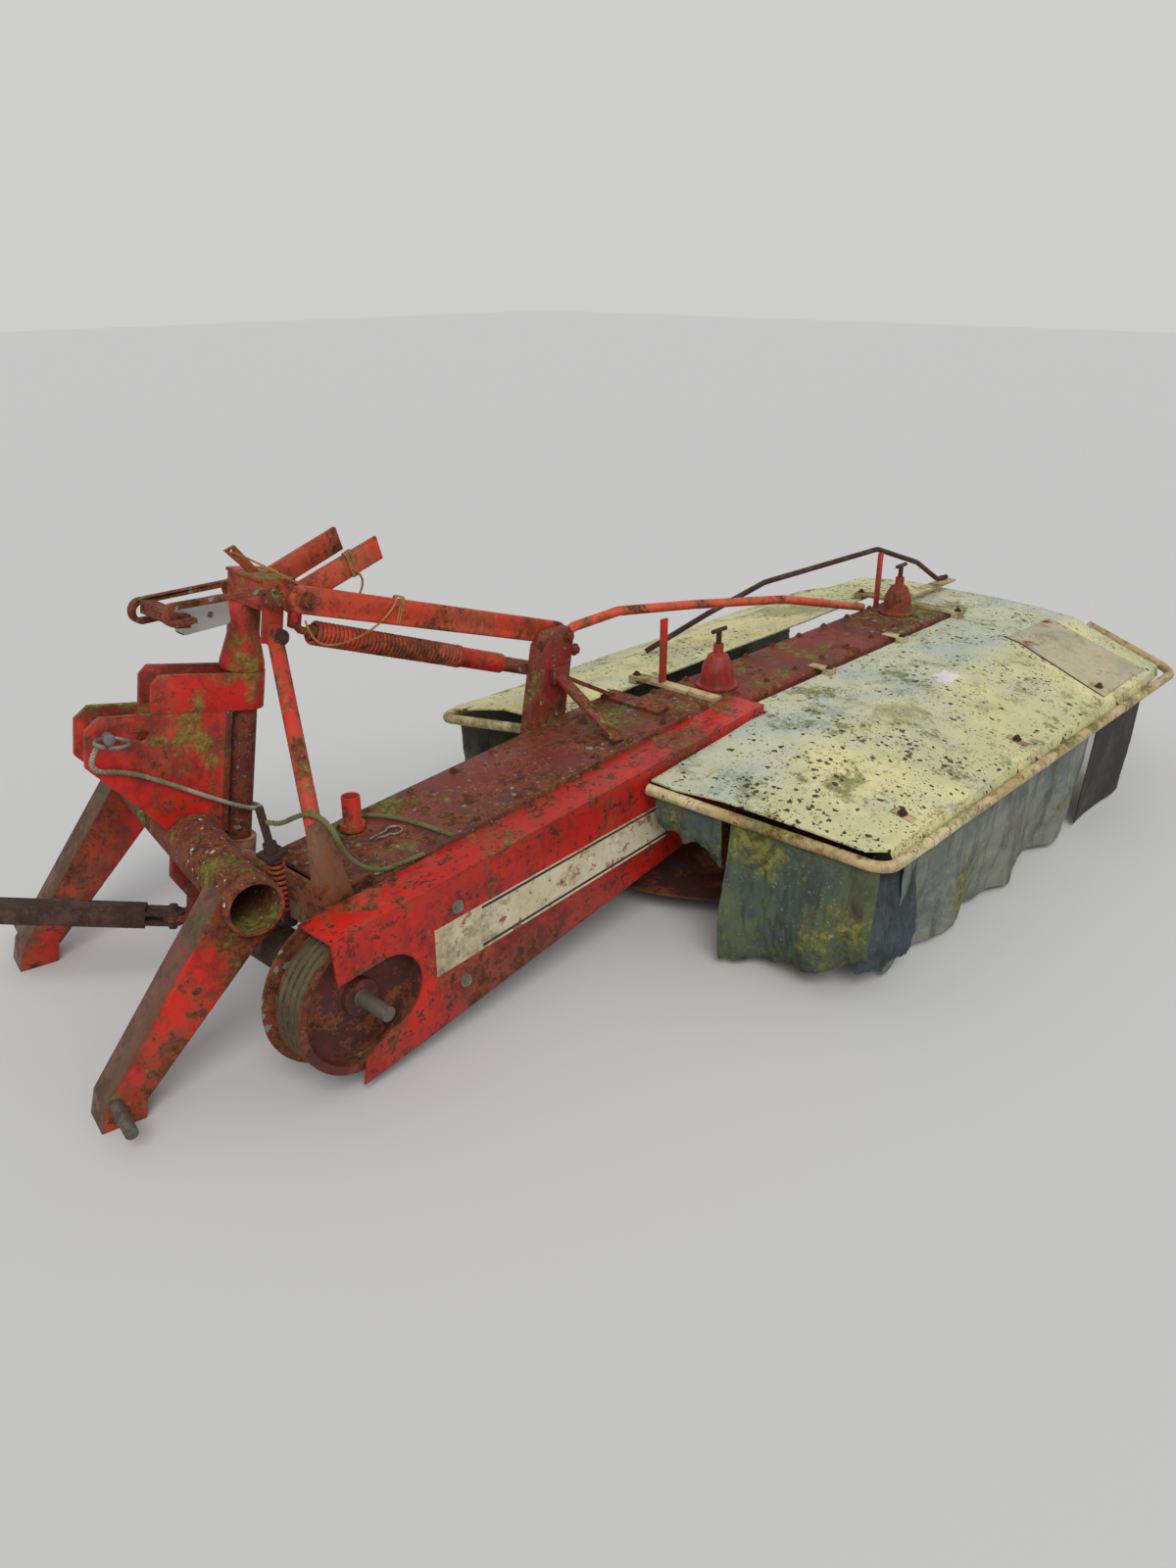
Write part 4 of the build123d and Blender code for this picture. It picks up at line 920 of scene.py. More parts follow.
def bake_modifiers(piece: Piece) -> None:
    """Replaces a piece's mesh with its evaluated one and drops its modifiers."""
    graph = bpy.context.evaluated_depsgraph_get()
    mesh = bpy.data.meshes.new_from_object(piece.evaluated_get(graph))
    piece.modifiers.clear()
    piece.data = mesh


# Each dent wave is a rate per metre and a share.
DENT_WAVES = ((3.1, 0.7), (9.0, 0.3))


def dent_wave(place: Vector) -> float:
    """How far a thin sheet is pushed out at a point, from -1 to 1."""
    return sum(noise.noise(place * rate) * share for rate, share in DENT_WAVES)


@dataclass
class Dresser:
    """Turns CAD nodes into pieces with rounded edges and finishes."""

    frame: dict[str, Any]
    trees: dict[str, BVHTree] = field(default_factory=dict)
    doubles: ClassVar[float] = 1e-5
    flat_angle: ClassVar[float] = math.radians(0.6)
    bevel_angle: ClassVar[float] = math.radians(40)
    slim_margin: ClassVar[float] = 0.0006
    slim_end: ClassVar[float] = 0.001
    seat_above: ClassVar[float] = 0.12
    seat_reach: ClassVar[float] = 0.3
    dent_rounds: ClassVar[int] = 5
    dent_edge: ClassVar[float] = 0.07

    def body_of(self, node: str) -> str:
        """The body that a CAD node belongs to."""
        bodies = self.frame["record"]["behaviour"]["bodies"]
        return next(body for body, nodes in bodies.items() if node in nodes)

    def attach(self, piece: Piece, body: str, slot: str, *nodes: str) -> Piece:
        """Rides a piece on a body and hides the CAD nodes that it stands for.

        Args:
            piece: The piece.
            body: Its body.
            slot: Its material slot in the record; not used.
            nodes: The CAD nodes that it replaces.

        Returns:
            The piece.
        """
        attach(piece, body)
        if nodes:
            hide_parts(*nodes)
        return piece

    def add(self, name: str, mesh: Mesh, finish: Finish, body: str, slot: str, *nodes: str) -> Piece:
        """Makes a piece of a mesh and attaches it.

        Args:
            name: The piece's name.
            mesh: Its mesh.
            finish: Its finish.
            body: The body that it rides on.
            slot: Its material slot in the record; not used.
            nodes: The CAD nodes that it replaces.

        Returns:
            The piece.
        """
        return self.attach(new_piece(name, mesh, finish), body, slot, *nodes)

    def slot_of(self, node: str) -> str:
        """The record's material slot of a CAD node."""
        parts = self.frame["record"]["subparts"]
        return next(part["material_slot"] for part in parts if part["node"] == node)

    def merged(self, node: str) -> Mesh:
        """Copies a CAD node's mesh.

        Args:
            node: The CAD node.

        Returns:
            The copy, with its doubles merged and its flat faces joined.
        """
        mesh = self.frame["nodes"][node].data.copy()
        shape = bmesh.new()
        shape.from_mesh(mesh)
        bmesh.ops.remove_doubles(shape, verts=shape.verts, dist=self.doubles)
        bmesh.ops.dissolve_limit(
            shape, angle_limit=self.flat_angle, verts=shape.verts, edges=shape.edges
        )
        shape.to_mesh(mesh)
        shape.free()
        return mesh

    def soften(self, node: str, width: float, finish: Finish, dents: float = 0.0) -> Piece:
        """Replaces a CAD node with a copy that has rounded edges.

        Args:
            node: The CAD node.
            width: The rounding's width in metres.
            finish: The copy's finish.
            dents: How far noise may push the surface, in metres.

        Returns:
            The new piece.
        """
        mesh = self.merged(node)
        if dents:
            self.dent(mesh, dents)
        piece = new_piece(f"{node}_steel", mesh, finish)
        bevel = piece.modifiers.new("edges", "BEVEL")
        bevel.width = width
        bevel.segments = 2
        bevel.limit_method = "ANGLE"
        bevel.angle_limit = self.bevel_angle
        bevel.harden_normals = False
        bake_modifiers(piece)
        finish_mesh(piece.data, finish)
        return self.attach(piece, self.body_of(node), self.slot_of(node), node)

    def slim(self, node: str, start: Vector, end: Vector, radius: float, slimmer: float,
             finish: Finish) -> Piece:
        """Replaces a node with a copy whose round stretch about an axis is drawn in.

        Args:
            node: The CAD node.
            start: The axis's start, in metres.
            end: The axis's end, in metres.
            radius: The round stretch's radius, in metres.
            slimmer: Its new radius, in metres.
            finish: The copy's finish.

        Returns:
            The new piece.
        """
        mesh = self.merged(node)
        along = (end - start).normalized()
        last = (end - start).length + self.slim_end
        for vert in mesh.vertices:
            offset = vert.co - start
            reach = offset.dot(along)
            out = offset - along * reach
            if abs(out.length - radius) < self.slim_margin and -self.slim_end <= reach <= last:
                vert.co -= out * (1 - slimmer / out.length)
        return self.add(f"{node}_core", mesh, finish, self.body_of(node), self.slot_of(node), node)

    def seat(self, node: str, place: Vector, facing: Vector) -> Vector:
        """Finds a CAD node's surface.

        Args:
            node: The CAD node.
            place: A place near the surface.
            facing: The direction that the surface faces.

        Returns:
            The surface's point that lies on the line through the place, or the place where there is none.
        """
        if node not in self.trees:
            shape = bmesh.new()
            shape.from_mesh(self.frame["nodes"][node].data)
            self.trees[node] = BVHTree.FromBMesh(shape)
            shape.free()
        facing = facing.normalized()
        hit = self.trees[node].ray_cast(place + facing * self.seat_above, -facing, self.seat_reach)[0]
        return hit or place

    def dent(self, mesh: Mesh, depth: float) -> None:
        """Cuts a sheet's long edges and moves both its faces up and down together.

        Args:
            mesh: The sheet.
            depth: How far it may be pushed, in metres.
        """
        shape = bmesh.new()
        shape.from_mesh(mesh)
        bmesh.ops.triangulate(shape, faces=shape.faces)
        for _ in range(self.dent_rounds):
            long_edges = [edge for edge in shape.edges if edge.calc_length() > self.dent_edge]
            if not long_edges:
                break
            bmesh.ops.subdivide_edges(shape, edges=long_edges, cuts=1)
            bmesh.ops.triangulate(shape, faces=shape.faces)
        for vert in shape.verts:
            vert.co.z += depth * dent_wave(vert.co)
        shape.to_mesh(mesh)
        shape.free()

    def paint(self, node: str, finish: Finish) -> None:
        """Gives a CAD node that keeps its shape a finish.

        Args:
            node: The CAD node.
            finish: Its finish.
        """
        target = self.frame["nodes"][node]
        target.data.materials.clear()
        target.data.materials.append(finish.material)
        for face in target.data.polygons:
            face.material_index = 0


@dataclass
class Studio:
    """Floor, sun, sky and camera."""

    camera_place: Point = (-2.670, -1.924, 1.630)
    heading: tuple[float, float] = (0.739, 0.674)
    pitch: float = 23.99
    lens: float = 27.0
    sensor: float = 36.0
    floor_size: float = 60.0
    sun_from: Point = (-0.55, -0.62, 0.86)
    sun_strength: float = 1.55
    sun_spread: float = 34.0
    sky_strength: float = 0.56
    sky_colour: Colour = srgb(252, 252, 255)
    pale_colour: Colour = srgb(206, 206, 205)
    floor_colour: Colour = srgb(206, 206, 204)
    floor_rough: float = 0.9

    def camera(self) -> Piece:
        """Places the camera where the photograph was taken from."""
        data = bpy.data.cameras.new("camera")
        data.lens = self.lens
        data.sensor_width = self.sensor
        data.sensor_fit = "AUTO"
        camera = linked("camera", data)
        drop = math.tan(math.radians(self.pitch))
        look = Vector((self.heading[0], self.heading[1], -drop * math.hypot(*self.heading)))
        camera.location = self.camera_place
        camera.rotation_euler = look.to_track_quat("-Z", "Y").to_euler()
        bpy.context.scene.camera = camera
        return camera

    def floor(self) -> Piece:
        """A pale concrete floor."""
        half = self.floor_size / 2
        mesh = bpy.data.meshes.new("floor")
        corners = [(-half, -half, 0), (half, -half, 0), (half, half, 0), (-half, half, 0)]
        mesh.from_pydata(corners, [], [(0, 1, 2, 3)])
        floor = linked("floor", mesh)
        material, graph, shader = new_material("floor")
        graph.feed(shader.inputs["Base Color"], self.floor_colour)
        graph.feed(shader.inputs["Roughness"], self.floor_rough)
        mesh.materials.append(material)
        return floor

    def light(self) -> None:
        """Sets a broad sun behind the camera and a soft sky."""
        data = bpy.data.lights.new("sun", "SUN")
        data.energy = self.sun_strength
        data.angle = math.radians(self.sun_spread)
        lamp = linked("sun", data)
        lamp.rotation_euler = (-Vector(self.sun_from)).to_track_quat("-Z", "Y").to_euler()
        world = bpy.data.worlds.new("world")
        bpy.context.scene.world = world
        world.use_nodes = True
        graph = Graph(world.node_tree)
        world.node_tree.nodes.clear()
        path = graph.add("ShaderNodeLightPath")
        seen = graph.maths("MAXIMUM", path.outputs["Is Camera Ray"], path.outputs["Is Glossy Ray"])
        sky = graph.add("ShaderNodeBackground", {"Color": self.sky_colour, "Strength": self.sky_strength})
        pale = graph.add("ShaderNodeBackground", {"Color": self.pale_colour, "Strength": 1.0})
        both = graph.add("ShaderNodeMixShader", {0: seen, 1: sky, 2: pale})
        graph.add("ShaderNodeOutputWorld", {"Surface": both})
        bpy.context.scene.view_settings.view_transform = "Standard"

    def build(self) -> None:
        """Builds the whole stage."""
        self.camera()
        self.floor()
        self.light()


class Repeats:
    """Geometry Nodes trees for what repeats.

    A bolt's parts are its washer, head and stud. Each has its sides, its radius as a share of the head's, and
    its height and its middle's height as shares of the head's height.
    """

    bolt_parts = ((20, 1.45, 0.34, 0.17), (6, 1.0, 1.0, 0.75), (12, 0.5, 1.5, 0.95))
    full_turn = 6.28
    coil_steps = 26
    wire_sides = 10

    @staticmethod
    def start(name: str, inputs: Iterable[tuple[str, str, Any]]) -> tuple[Graph, Any, Any]:
        """Starts a tree with a geometry in and out and named inputs.

        Args:
            name: The tree's name.
            inputs: Name, socket type and default of each input.

        Returns:
            The graph, the input node and the output node.
        """
        tree = bpy.data.node_groups.new(name, "GeometryNodeTree")
        face = tree.interface
        face.new_socket("Geometry", in_out="INPUT", socket_type="NodeSocketGeometry")
        for label, kind, default in inputs:
            socket = face.new_socket(label, in_out="INPUT", socket_type=kind)
            if default is not None:
                socket.default_value = default
        face.new_socket("Geometry", in_out="OUTPUT", socket_type="NodeSocketGeometry")
        graph = Graph(tree)
        return graph, graph.add("NodeGroupInput"), graph.add("NodeGroupOutput")

    @staticmethod
    def end(graph: Graph, source: Any, sink: Any, shape: Any) -> Tree:
        """Makes a tree's shape real, gives it its material and ends the tree.

        Args:
            graph: The tree's graph.
            source: Its input node.
            sink: Its output node.
            shape: The node whose geometry the tree gives.

        Returns:
            The tree.
        """
        solid = graph.add("GeometryNodeRealizeInstances", {"Geometry": shape})
        dressed = graph.add(
            "GeometryNodeSetMaterial", {"Geometry": solid, "Material": source.outputs["Material"]}
        )
        graph.feed(sink.inputs["Geometry"], dressed)
        return graph.tree

    @classmethod
    def bolts(cls) -> Tree:
        """Hex bolts with washers on the points of a mesh, along its facing attribute."""
        made = bpy.data.node_groups.get("bolt_rows")
        if made:
            return made
        graph, source, sink = cls.start(
            "bolt_rows",
            (
                ("Head Radius", "NodeSocketFloat", 0.009),
                ("Head Height", "NodeSocketFloat", 0.007),
                ("Seed", "NodeSocketInt", 3),
                ("Material", "NodeSocketMaterial", None),
            ),
        )
        radius = source.outputs["Head Radius"]
        height = source.outputs["Head Height"]
        parts = []
        for sides, wide, tall, middle in cls.bolt_parts:
            part = graph.add(
                "GeometryNodeMeshCylinder",
                {"Vertices": sides, "Radius": graph.times(radius, wide), "Depth": graph.times(height, tall)},
            )
            lift = graph.add("ShaderNodeCombineXYZ", {"Z": graph.times(height, middle)})
            parts.append(graph.add("GeometryNodeTransform", {"Geometry": part, "Translation": lift}))
        bolt = graph.add("GeometryNodeJoinGeometry")
        for part in parts:
            graph.tree.links.new(part.outputs[0], bolt.inputs[0])
        facing = graph.add("GeometryNodeInputNamedAttribute", {"Name": "facing"}, data_type="FLOAT_VECTOR")
        turn = graph.add("FunctionNodeAlignRotationToVector", {"Vector": facing}, axis="Z")
        spin = graph.add("FunctionNodeRandomValue", {"Seed": source.outputs["Seed"]}, data_type="FLOAT")
        around = graph.add("ShaderNodeCombineXYZ", {"Z": graph.times(spin.outputs[1], cls.full_turn)})
        points = graph.add("GeometryNodeMeshToPoints", {"Mesh": source.outputs["Geometry"]})
        placed = graph.add(
            "GeometryNodeInstanceOnPoints", {"Points": points, "Instance": bolt, "Rotation": turn}
        )
        turned = graph.add(
            "GeometryNodeRotateInstances", {"Instances": placed, "Rotation": around, "Local Space": True}
        )
        return cls.end(graph, source, sink, turned)

    @classmethod
    def coil(cls) -> Tree:
        """A wire coil along +Z."""
        made = bpy.data.node_groups.get("wire_coil")
        if made:
            return made
        graph, source, sink = cls.start(
            "wire_coil",
            (
                ("Turns", "NodeSocketFloat", 10.0),
                ("Radius", "NodeSocketFloat", 0.02),
                ("Length", "NodeSocketFloat", 0.15),
                ("Wire Radius", "NodeSocketFloat", 0.004),
                ("Material", "NodeSocketMaterial", None),
            ),
        )
        radius = source.outputs["Radius"]
        spiral = graph.add(
            "GeometryNodeCurveSpiral",
            {"Resolution": cls.coil_steps, "Rotations": source.outputs["Turns"], "Start Radius": radius,
             "End Radius": radius, "Height": source.outputs["Length"]},
        )
        ring = graph.add(
            "GeometryNodeCurvePrimitiveCircle",
            {"Resolution": cls.wire_sides, "Radius": source.outputs["Wire Radius"]},
        )
        wire = graph.add(
            "GeometryNodeCurveToMesh", {"Curve": spiral, "Profile Curve": ring, "Fill Caps": True}
        )
        return cls.end(graph, source, sink, wire)

    @staticmethod
    def run(name: str, base: Mesh, tree: Tree, finish: Finish, **values: Any) -> Piece:
        """Runs a tree on a mesh and keeps the result as a plain piece.

        Args:
            name: The piece's name.
            base: The mesh that the tree starts from.
            tree: The Geometry Nodes tree.
            finish: The result's finish.
            values: The tree's inputs, with an underscore for a space.

        Returns:
            The piece.
        """
        piece = linked(name, base)
        modifier = piece.modifiers.new("repeats", "NODES")
        modifier.node_group = tree
        values["Material"] = finish.material
        keys = {
            item.name: item.identifier
            for item in tree.interface.items_tree
            if item.item_type == "SOCKET" and item.in_out == "INPUT"
        }
        for label, value in values.items():
            modifier[keys[label.replace("_", " ")]] = value
        bake_modifiers(piece)
        finish_mesh(piece.data, finish)
        log.info("made %s with %d faces", name, len(piece.data.polygons))
        return piece


def point_mesh(name: str, points: Sequence[tuple[Vector, Vector]]) -> Mesh:
    """A mesh of loose points that carry the direction they face.

    Args:
        name: The mesh's name.
        points: Each point's place and direction.

    Returns:
        The mesh.
    """
    mesh = bpy.data.meshes.new(name)
    mesh.from_pydata([place for place, _ in points], [], [])
    facing = mesh.attributes.new("facing", "FLOAT_VECTOR", "POINT")
    for index, (_, direction) in enumerate(points):
        facing.data[index].vector = direction
    return mesh


def placed_between(piece: Piece, start: Vector, end: Vector) -> None:
    """Moves a piece made along +Z so that it starts at one point and heads for another."""
    turn = (end - start).to_track_quat("Z", "Y").to_matrix().to_4x4()
    piece.data.transform(Matrix.Translation(start) @ turn)


def tube_mesh(name: str, points: Sequence[Vector], radius: float, sides: int = 16) -> Mesh:
    """A closed tube along points, with a ring at each.

    Args:
        name: The mesh's name.
        points: The centre line.
        radius: The tube's radius.
        sides: Faces round the tube.

    Returns:
        The mesh.
    """
    shape = bmesh.new()
    rings = []
    normal = None
    for index, place in enumerate(points):
        ahead = points[min(index + 1, len(points) - 1)] - points[max(index - 1, 0)]
        ahead.normalize()
        if normal is None:
            normal = ahead.orthogonal().normalized()
        normal = (normal - ahead * normal.dot(ahead)).normalized()
        side = ahead.cross(normal)
        turns = (2 * math.pi * step / sides for step in range(sides))
        rings.append([
            shape.verts.new(place + radius * (math.cos(turn) * normal + math.sin(turn) * side))
            for turn in turns
        ])
    join_rings(shape, rings)
    shape.faces.new(reversed(rings[0]))
    shape.faces.new(rings[-1])
    return mesh_from(shape, name)


@dataclass
class Fitting:
    """Something that the dresser adds to the mower."""

    dresser: Dresser


@dataclass
class Springs(Fitting):
    """The balance spring under the upper link and the breakaway spring behind the column."""

    balance_start: Point = (-1198, 274, 863)
    balance_end: Point = (-620, 262, 652)
    balance_radius: float = 29.0
    balance_wire: float = 5.5
    balance_core: float = 17.0
    balance_turns: float = 38.0
    coil_start: float = 0.01
    coil_end: float = 0.74
    sleeve_shares: tuple[float, ...] = (0.75, 0.88, 0.995)
    sleeve_inset: float = 3.0
    collar_shares: tuple[float, ...] = (0.735, 0.75)
    hook_start: float = 0.004
    hook_points: tuple[Point, ...] = (
        (-1222, 272, 874), (-1238, 266, 892), (-1240, 256, 918), (-1236, 248, 938),
    )
    hook_radius: float = 9.0
    hook_sides: int = 16
    break_low: Point = (-1452, 70, 304)
    break_top: Point = (-1497, 70, 591)
    break_radius: float = 21.0
    break_wire: float = 4.6
    break_core: float = 12.0
    break_turns: float = 9.5
    break_stretch: tuple[float, float] = (0.036, 0.172)
    break_coil: tuple[float, float] = (0.040, 0.169)

    def coil(self, name: str, start: Vector, end: Vector, radius: float, wire: float, turns: float,
             finish: Finish) -> Piece:
        """Winds one coil between two points.

        Args:
            name: The coil's name.
            start: Its start, in metres.
            end: Its end, in metres.
            radius: Its outer radius, in millimetres.
            wire: The wire's radius, in millimetres.
            turns: How many turns it has.
            finish: Its finish.

        Returns:
            The coil.
        """
        piece = Repeats.run(
            name, bpy.data.meshes.new(name), Repeats.coil(), finish, Turns=turns,
            Radius=(radius - wire) / 1000, Length=(end - start).length, Wire_Radius=wire / 1000,
        )
        placed_between(piece, start, end)
        return piece

    def tube(self, name: str, line: Sequence[Vector], radius: float, sides: int = 28) -> None:
        """Adds a red tube to the balance spring, its radius in millimetres."""
        mesh = tube_mesh(name, line, radius / 1000, sides)
        self.dresser.add(name, mesh, Finish.RED, "link", "rusty_iron")

    def build(self) -> None:
        """Makes both springs over their rods."""
        self.build_balance()
        self.build_breakaway()

    def build_balance(self) -> None:
        """Makes the balance spring with its sleeve, collar and hook."""
        start, end = metres(*self.balance_start), metres(*self.balance_end)
        run = end - start
        along = run.normalized()
        self.dresser.slim(
            "balance_spring", start, end, self.balance_radius / 1000, self.balance_core / 1000,
            Finish.RED_DARK,
        )
        coil = self.coil(
            "balance_coil", start + along * self.coil_start, start + run * self.coil_end,
            self.balance_radius, self.balance_wire, self.balance_turns, Finish.RED_FADED,
        )
        self.dresser.attach(coil, "link", "rusty_iron")
        for name, shares, inset in (
            ("balance_sleeve", self.sleeve_shares, self.sleeve_inset),
            ("balance_collar", self.collar_shares, 0.0),
        ):
            self.tube(name, [start + run * share for share in shares], self.balance_radius - inset)
        hook_line = [start + along * self.hook_start, *(metres(*point) for point in self.hook_points)]
        self.tube("balance_hook", hook_line, self.hook_radius, self.hook_sides)

    def build_breakaway(self) -> None:
        """Makes the breakaway spring."""
        low, top = metres(*self.break_low), metres(*self.break_top)
        up = (top - low).normalized()
        core_low, core_top = (low + up * reach for reach in self.break_stretch)
        self.dresser.slim(
            "breakaway_spring", core_low, core_top, self.break_radius / 1000, self.break_core / 1000,
            Finish.IRON,
        )
        coil_low, coil_top = (low + up * reach for reach in self.break_coil)
        spring = self.coil(
            "breakaway_coil", coil_low, coil_top, self.break_radius, self.break_wire, self.break_turns,
            Finish.SPRING_RED,
        )
        self.dresser.attach(spring, "turret", "orange_paint")


@dataclass
class Rope:
    """A three-strand rope along its route.

    A strand's offset and radius are shares of the rope's radius.
    """

    name: str
    node: str | None
    body: str
    points: tuple[Vector, ...]
    far_end: str
    lay: str
    radius: float = 5.5
    pitch: float = 30.0
    sides: int = 8
    finish: Finish = Finish.ROPE
    strands: ClassVar[int] = 3
    strand_offset: ClassVar[float] = 0.5
    strand_radius: ClassVar[float] = 0.56
    smoothness: ClassVar[int] = 12

    def centre_line(self) -> list[Vector]:
        """Points along the route's smooth line."""
        curve = bpy.data.curves.new(f"{self.name}_route", "CURVE")
        curve.dimensions = "3D"
        curve.resolution_u = self.smoothness
        line = curve.splines.new("NURBS")
        line.points.add(len(self.points) - 1)
        for point, place in zip(line.points, self.points):
            point.co = (*place, 1.0)
        line.order_u = 3
        line.use_endpoint_u = True
        holder = linked(f"{self.name}_route", curve)
        graph = bpy.context.evaluated_depsgraph_get()
        mesh = bpy.data.meshes.new_from_object(holder.evaluated_get(graph))
        places = [vert.co.copy() for vert in mesh.vertices]
        bpy.data.objects.remove(holder)
        bpy.data.curves.remove(curve)
        bpy.data.meshes.remove(mesh)
        return places

    def strand(self, line: Sequence[Vector], phase: float) -> Mesh:
        """Winds one strand round the centre line.

        Args:
            line: The centre line.
            phase: The strand's angle at the start, in radians.

        Returns:
            The strand's mesh.
        """
        offset = self.radius * self.strand_offset / 1000
        thick = self.radius * self.strand_radius / 1000
        places = []
        normal = (line[1] - line[0]).orthogonal().normalized()
        travelled = 0.0
        for index, place in enumerate(line):
            ahead = line[min(index + 1, len(line) - 1)] - line[max(index - 1, 0)]
            ahead.normalize()
            normal = (normal - ahead * normal.dot(ahead)).normalized()
            if index:
                travelled += (place - line[index - 1]).length
            angle = phase + 2 * math.pi * travelled / (self.pitch / 1000)
            side = ahead.cross(normal)
            places.append(place + offset * (math.cos(angle) * normal + math.sin(angle) * side))
        return tube_mesh(self.name, places, thick, self.sides)

    def build(self, dresser: Dresser) -> Piece:
        """Args:
            dresser: Attaches the piece.

        Returns:
            The rope.
        """
        line = self.centre_line()
        shape = bmesh.new()
        for index in range(self.strands):
            mesh = self.strand(line, index * 2 * math.pi / self.strands)
            shape.from_mesh(mesh)
            bpy.data.meshes.remove(mesh)
        piece = new_piece(self.name, mesh_from(shape, self.name), self.finish)
        dresser.attach(piece, self.body, "rope_fibre", *([self.node] if self.node else []))
        return piece


@dataclass(frozen=True)
class Label:
    """A thin coat or sticker that follows the surface of a node."""

    name: str
    node: str
    slot: str
    finish: Finish
    corners: tuple[Point, Point, Point, Point]
    facing: Point
    ragged: float = 0.0
    lift: float = 0.5
    cells: tuple[int, int] = (60, 10)
    dents: float = 0.0
    thick: float = 0.4
    spoke: ClassVar[float] = 2.2

    def point(self, dresser: Dresser, across: float, up: float) -> Vector:
        """A point of the label, on its node's surface.

        Args:
            dresser: Finds the surface.
            across: Share of the way from the first side to the second.
            up: Share of the way from the foot to the head.

        Returns:
            The point, in metres.
        """
        low, after, high, before = (metres(*corner) for corner in self.corners)
        facing = Vector(self.facing).normalized()
        place = low.lerp(after, across).lerp(before.lerp(high, across), up)
        if self.ragged:
            centre = (low + after + high + before) / 4
            spoke = (place - centre).normalized() * self.spoke
            place = place.lerp(centre, abs(noise.noise(spoke + centre)) * self.ragged)
        place = dresser.seat(self.node, place, facing)
        place.z += self.dents / 1000 * dent_wave(place)
        return place + facing * self.lift / 1000

    def build(self, dresser: Dresser) -> Piece:
        """Lays the label on its node.

        Args:
            dresser: Finds the surface and attaches the piece.

        Returns:
            The label.
        """
        facing = Vector(self.facing).normalized()
        columns, rows = self.cells
        shape = bmesh.new()
        grid = [
            [shape.verts.new(self.point(dresser, i / columns, j / rows)) for j in range(rows + 1)]
            for i in range(columns + 1)
        ]
        for i in range(columns):
            for j in range(rows):
                shape.faces.new((grid[i][j], grid[i + 1][j], grid[i + 1][j + 1], grid[i][j + 1]))
        bmesh.ops.recalc_face_normals(shape, faces=shape.faces)
        if sum((face.normal for face in shape.faces), Vector()).dot(facing) < 0:
            bmesh.ops.reverse_faces(shape, faces=shape.faces)
        bmesh.ops.solidify(shape, geom=shape.faces[:], thickness=self.thick / 1000)
        mesh = mesh_from(shape, self.name)
        return dresser.add(self.name, mesh, self.finish, dresser.body_of(self.node), self.slot)


@dataclass
class Strip(Fitting):
    """The bare cream strip along the belt cover's front, with its black border lines."""

    station: tuple[float, float] = (-1278.0, -486.0)
    foot: float = 193.0
    height: float = 118.0
    border: float = 7.0
    border_station: tuple[float, float] = (-1140.0, -486.0)
    borders: tuple[float, float] = (0.06, 0.90)
    cover_front: float = -207.0
    narrowing: float = 0.12

    def level(self, x: float, share: float) -> float:
        """Height of a share of the strip at a station."""
        narrow = 1 - self.narrowing * (x - self.station[0]) / (self.station[1] - self.station[0])
        return self.foot + (x - self.station[0]) * BEAM_RISE + self.height * narrow * share

    def quad(self, stations: tuple[float, float], low: float, high: float) -> tuple[Point, ...]:
        """Four corners of a stretch of the strip.

        Args:
            stations: Where it starts and ends along the cover.
            low: Its foot, as a share of the strip's height.
            high: Its head, as a share of the strip's height.

        Returns:
            The corners, from the start's foot round to the start's head.
        """
        first, last = stations
        y = self.cover_front
        return (
            (first, y, self.level(first, low)), (last, y, self.level(last, low)),
            (last, y, self.level(last, high)), (first, y, self.level(first, high)),
        )

    def build(self) -> None:
        """Makes the strip and its borders."""
        facing = (0.0, -1.0, 0.0)
        Label(
            "cover_strip", "belt_cover", "cream_paint", Finish.STRIP, self.quad(self.station, 0, 1), facing,
            cells=(120, 14),
        ).build(self.dresser)
        thick = self.border / self.height
        for name, share in zip(("low_border", "high_border"), self.borders):
            Label(
                name, "belt_cover", "black_paint", Finish.BLACK,
                self.quad(self.border_station, share, share + thick), facing, lift=0.9, cells=(60, 1),
            ).build(self.dresser)


@dataclass
class Marks(Fitting):
    """Small bare coats on the beam, and the patch, end panel and seam on the rear guard. The seam is a dark
    rusty strip that is partly rust and partly a painted shadow line along the end panel's edge.
    """

    guard_dents: float = 4.0
    beam_strip: tuple[Point, ...] = (
        (-262, 96, 470), (-150, 96, 478), (-150, 128, 478), (-262, 128, 470),
    )
    guard_patch: tuple[Point, ...] = (
        (520, -470, 470), (640, -458, 470), (650, -392, 470), (540, -386, 470),
    )
    end_panel: tuple[Point, ...] = (
        (982, -780, 420), (1366, -772, 420), (1418, -397, 420), (1106, -393, 420),
    )
    # A dark rusty strip along the end panel's near edge: partly rust, partly a painted shadow line of the
    # panel's edge.
    rust_and_shadow_seam: tuple[Point, ...] = (
        (975, -780, 420), (986, -780, 420), (1110, -390, 420), (1099, -390, 420),
    )

    def build(self) -> None:
        """Makes every mark."""
        up = (0.0, 0.0, 1.0)
        Label(
            "beam_mark", "beam", "cream_paint", Finish.STRIP, self.beam_strip, up, cells=(12, 4)
        ).build(self.dresser)
        for name, finish, corners, shape in (
            ("guard_patch", Finish.WHITE_COAT, self.guard_patch, dict(ragged=0.5, cells=(24, 18), lift=0.8)),
            ("end_panel", Finish.PANEL, self.end_panel, dict(cells=(36, 36), lift=1.6, thick=1.2)),
            # The seam's dark strip is partly rust and partly painted edge shadow.
            ("rust_and_shadow_seam", Finish.IRON, self.rust_and_shadow_seam, dict(cells=(3, 60), lift=0.9, thick=0.6)),
        ):
            Label(
                name, "guard_rear", "cream_paint", finish, corners, up, dents=self.guard_dents, **shape
            ).build(self.dresser)


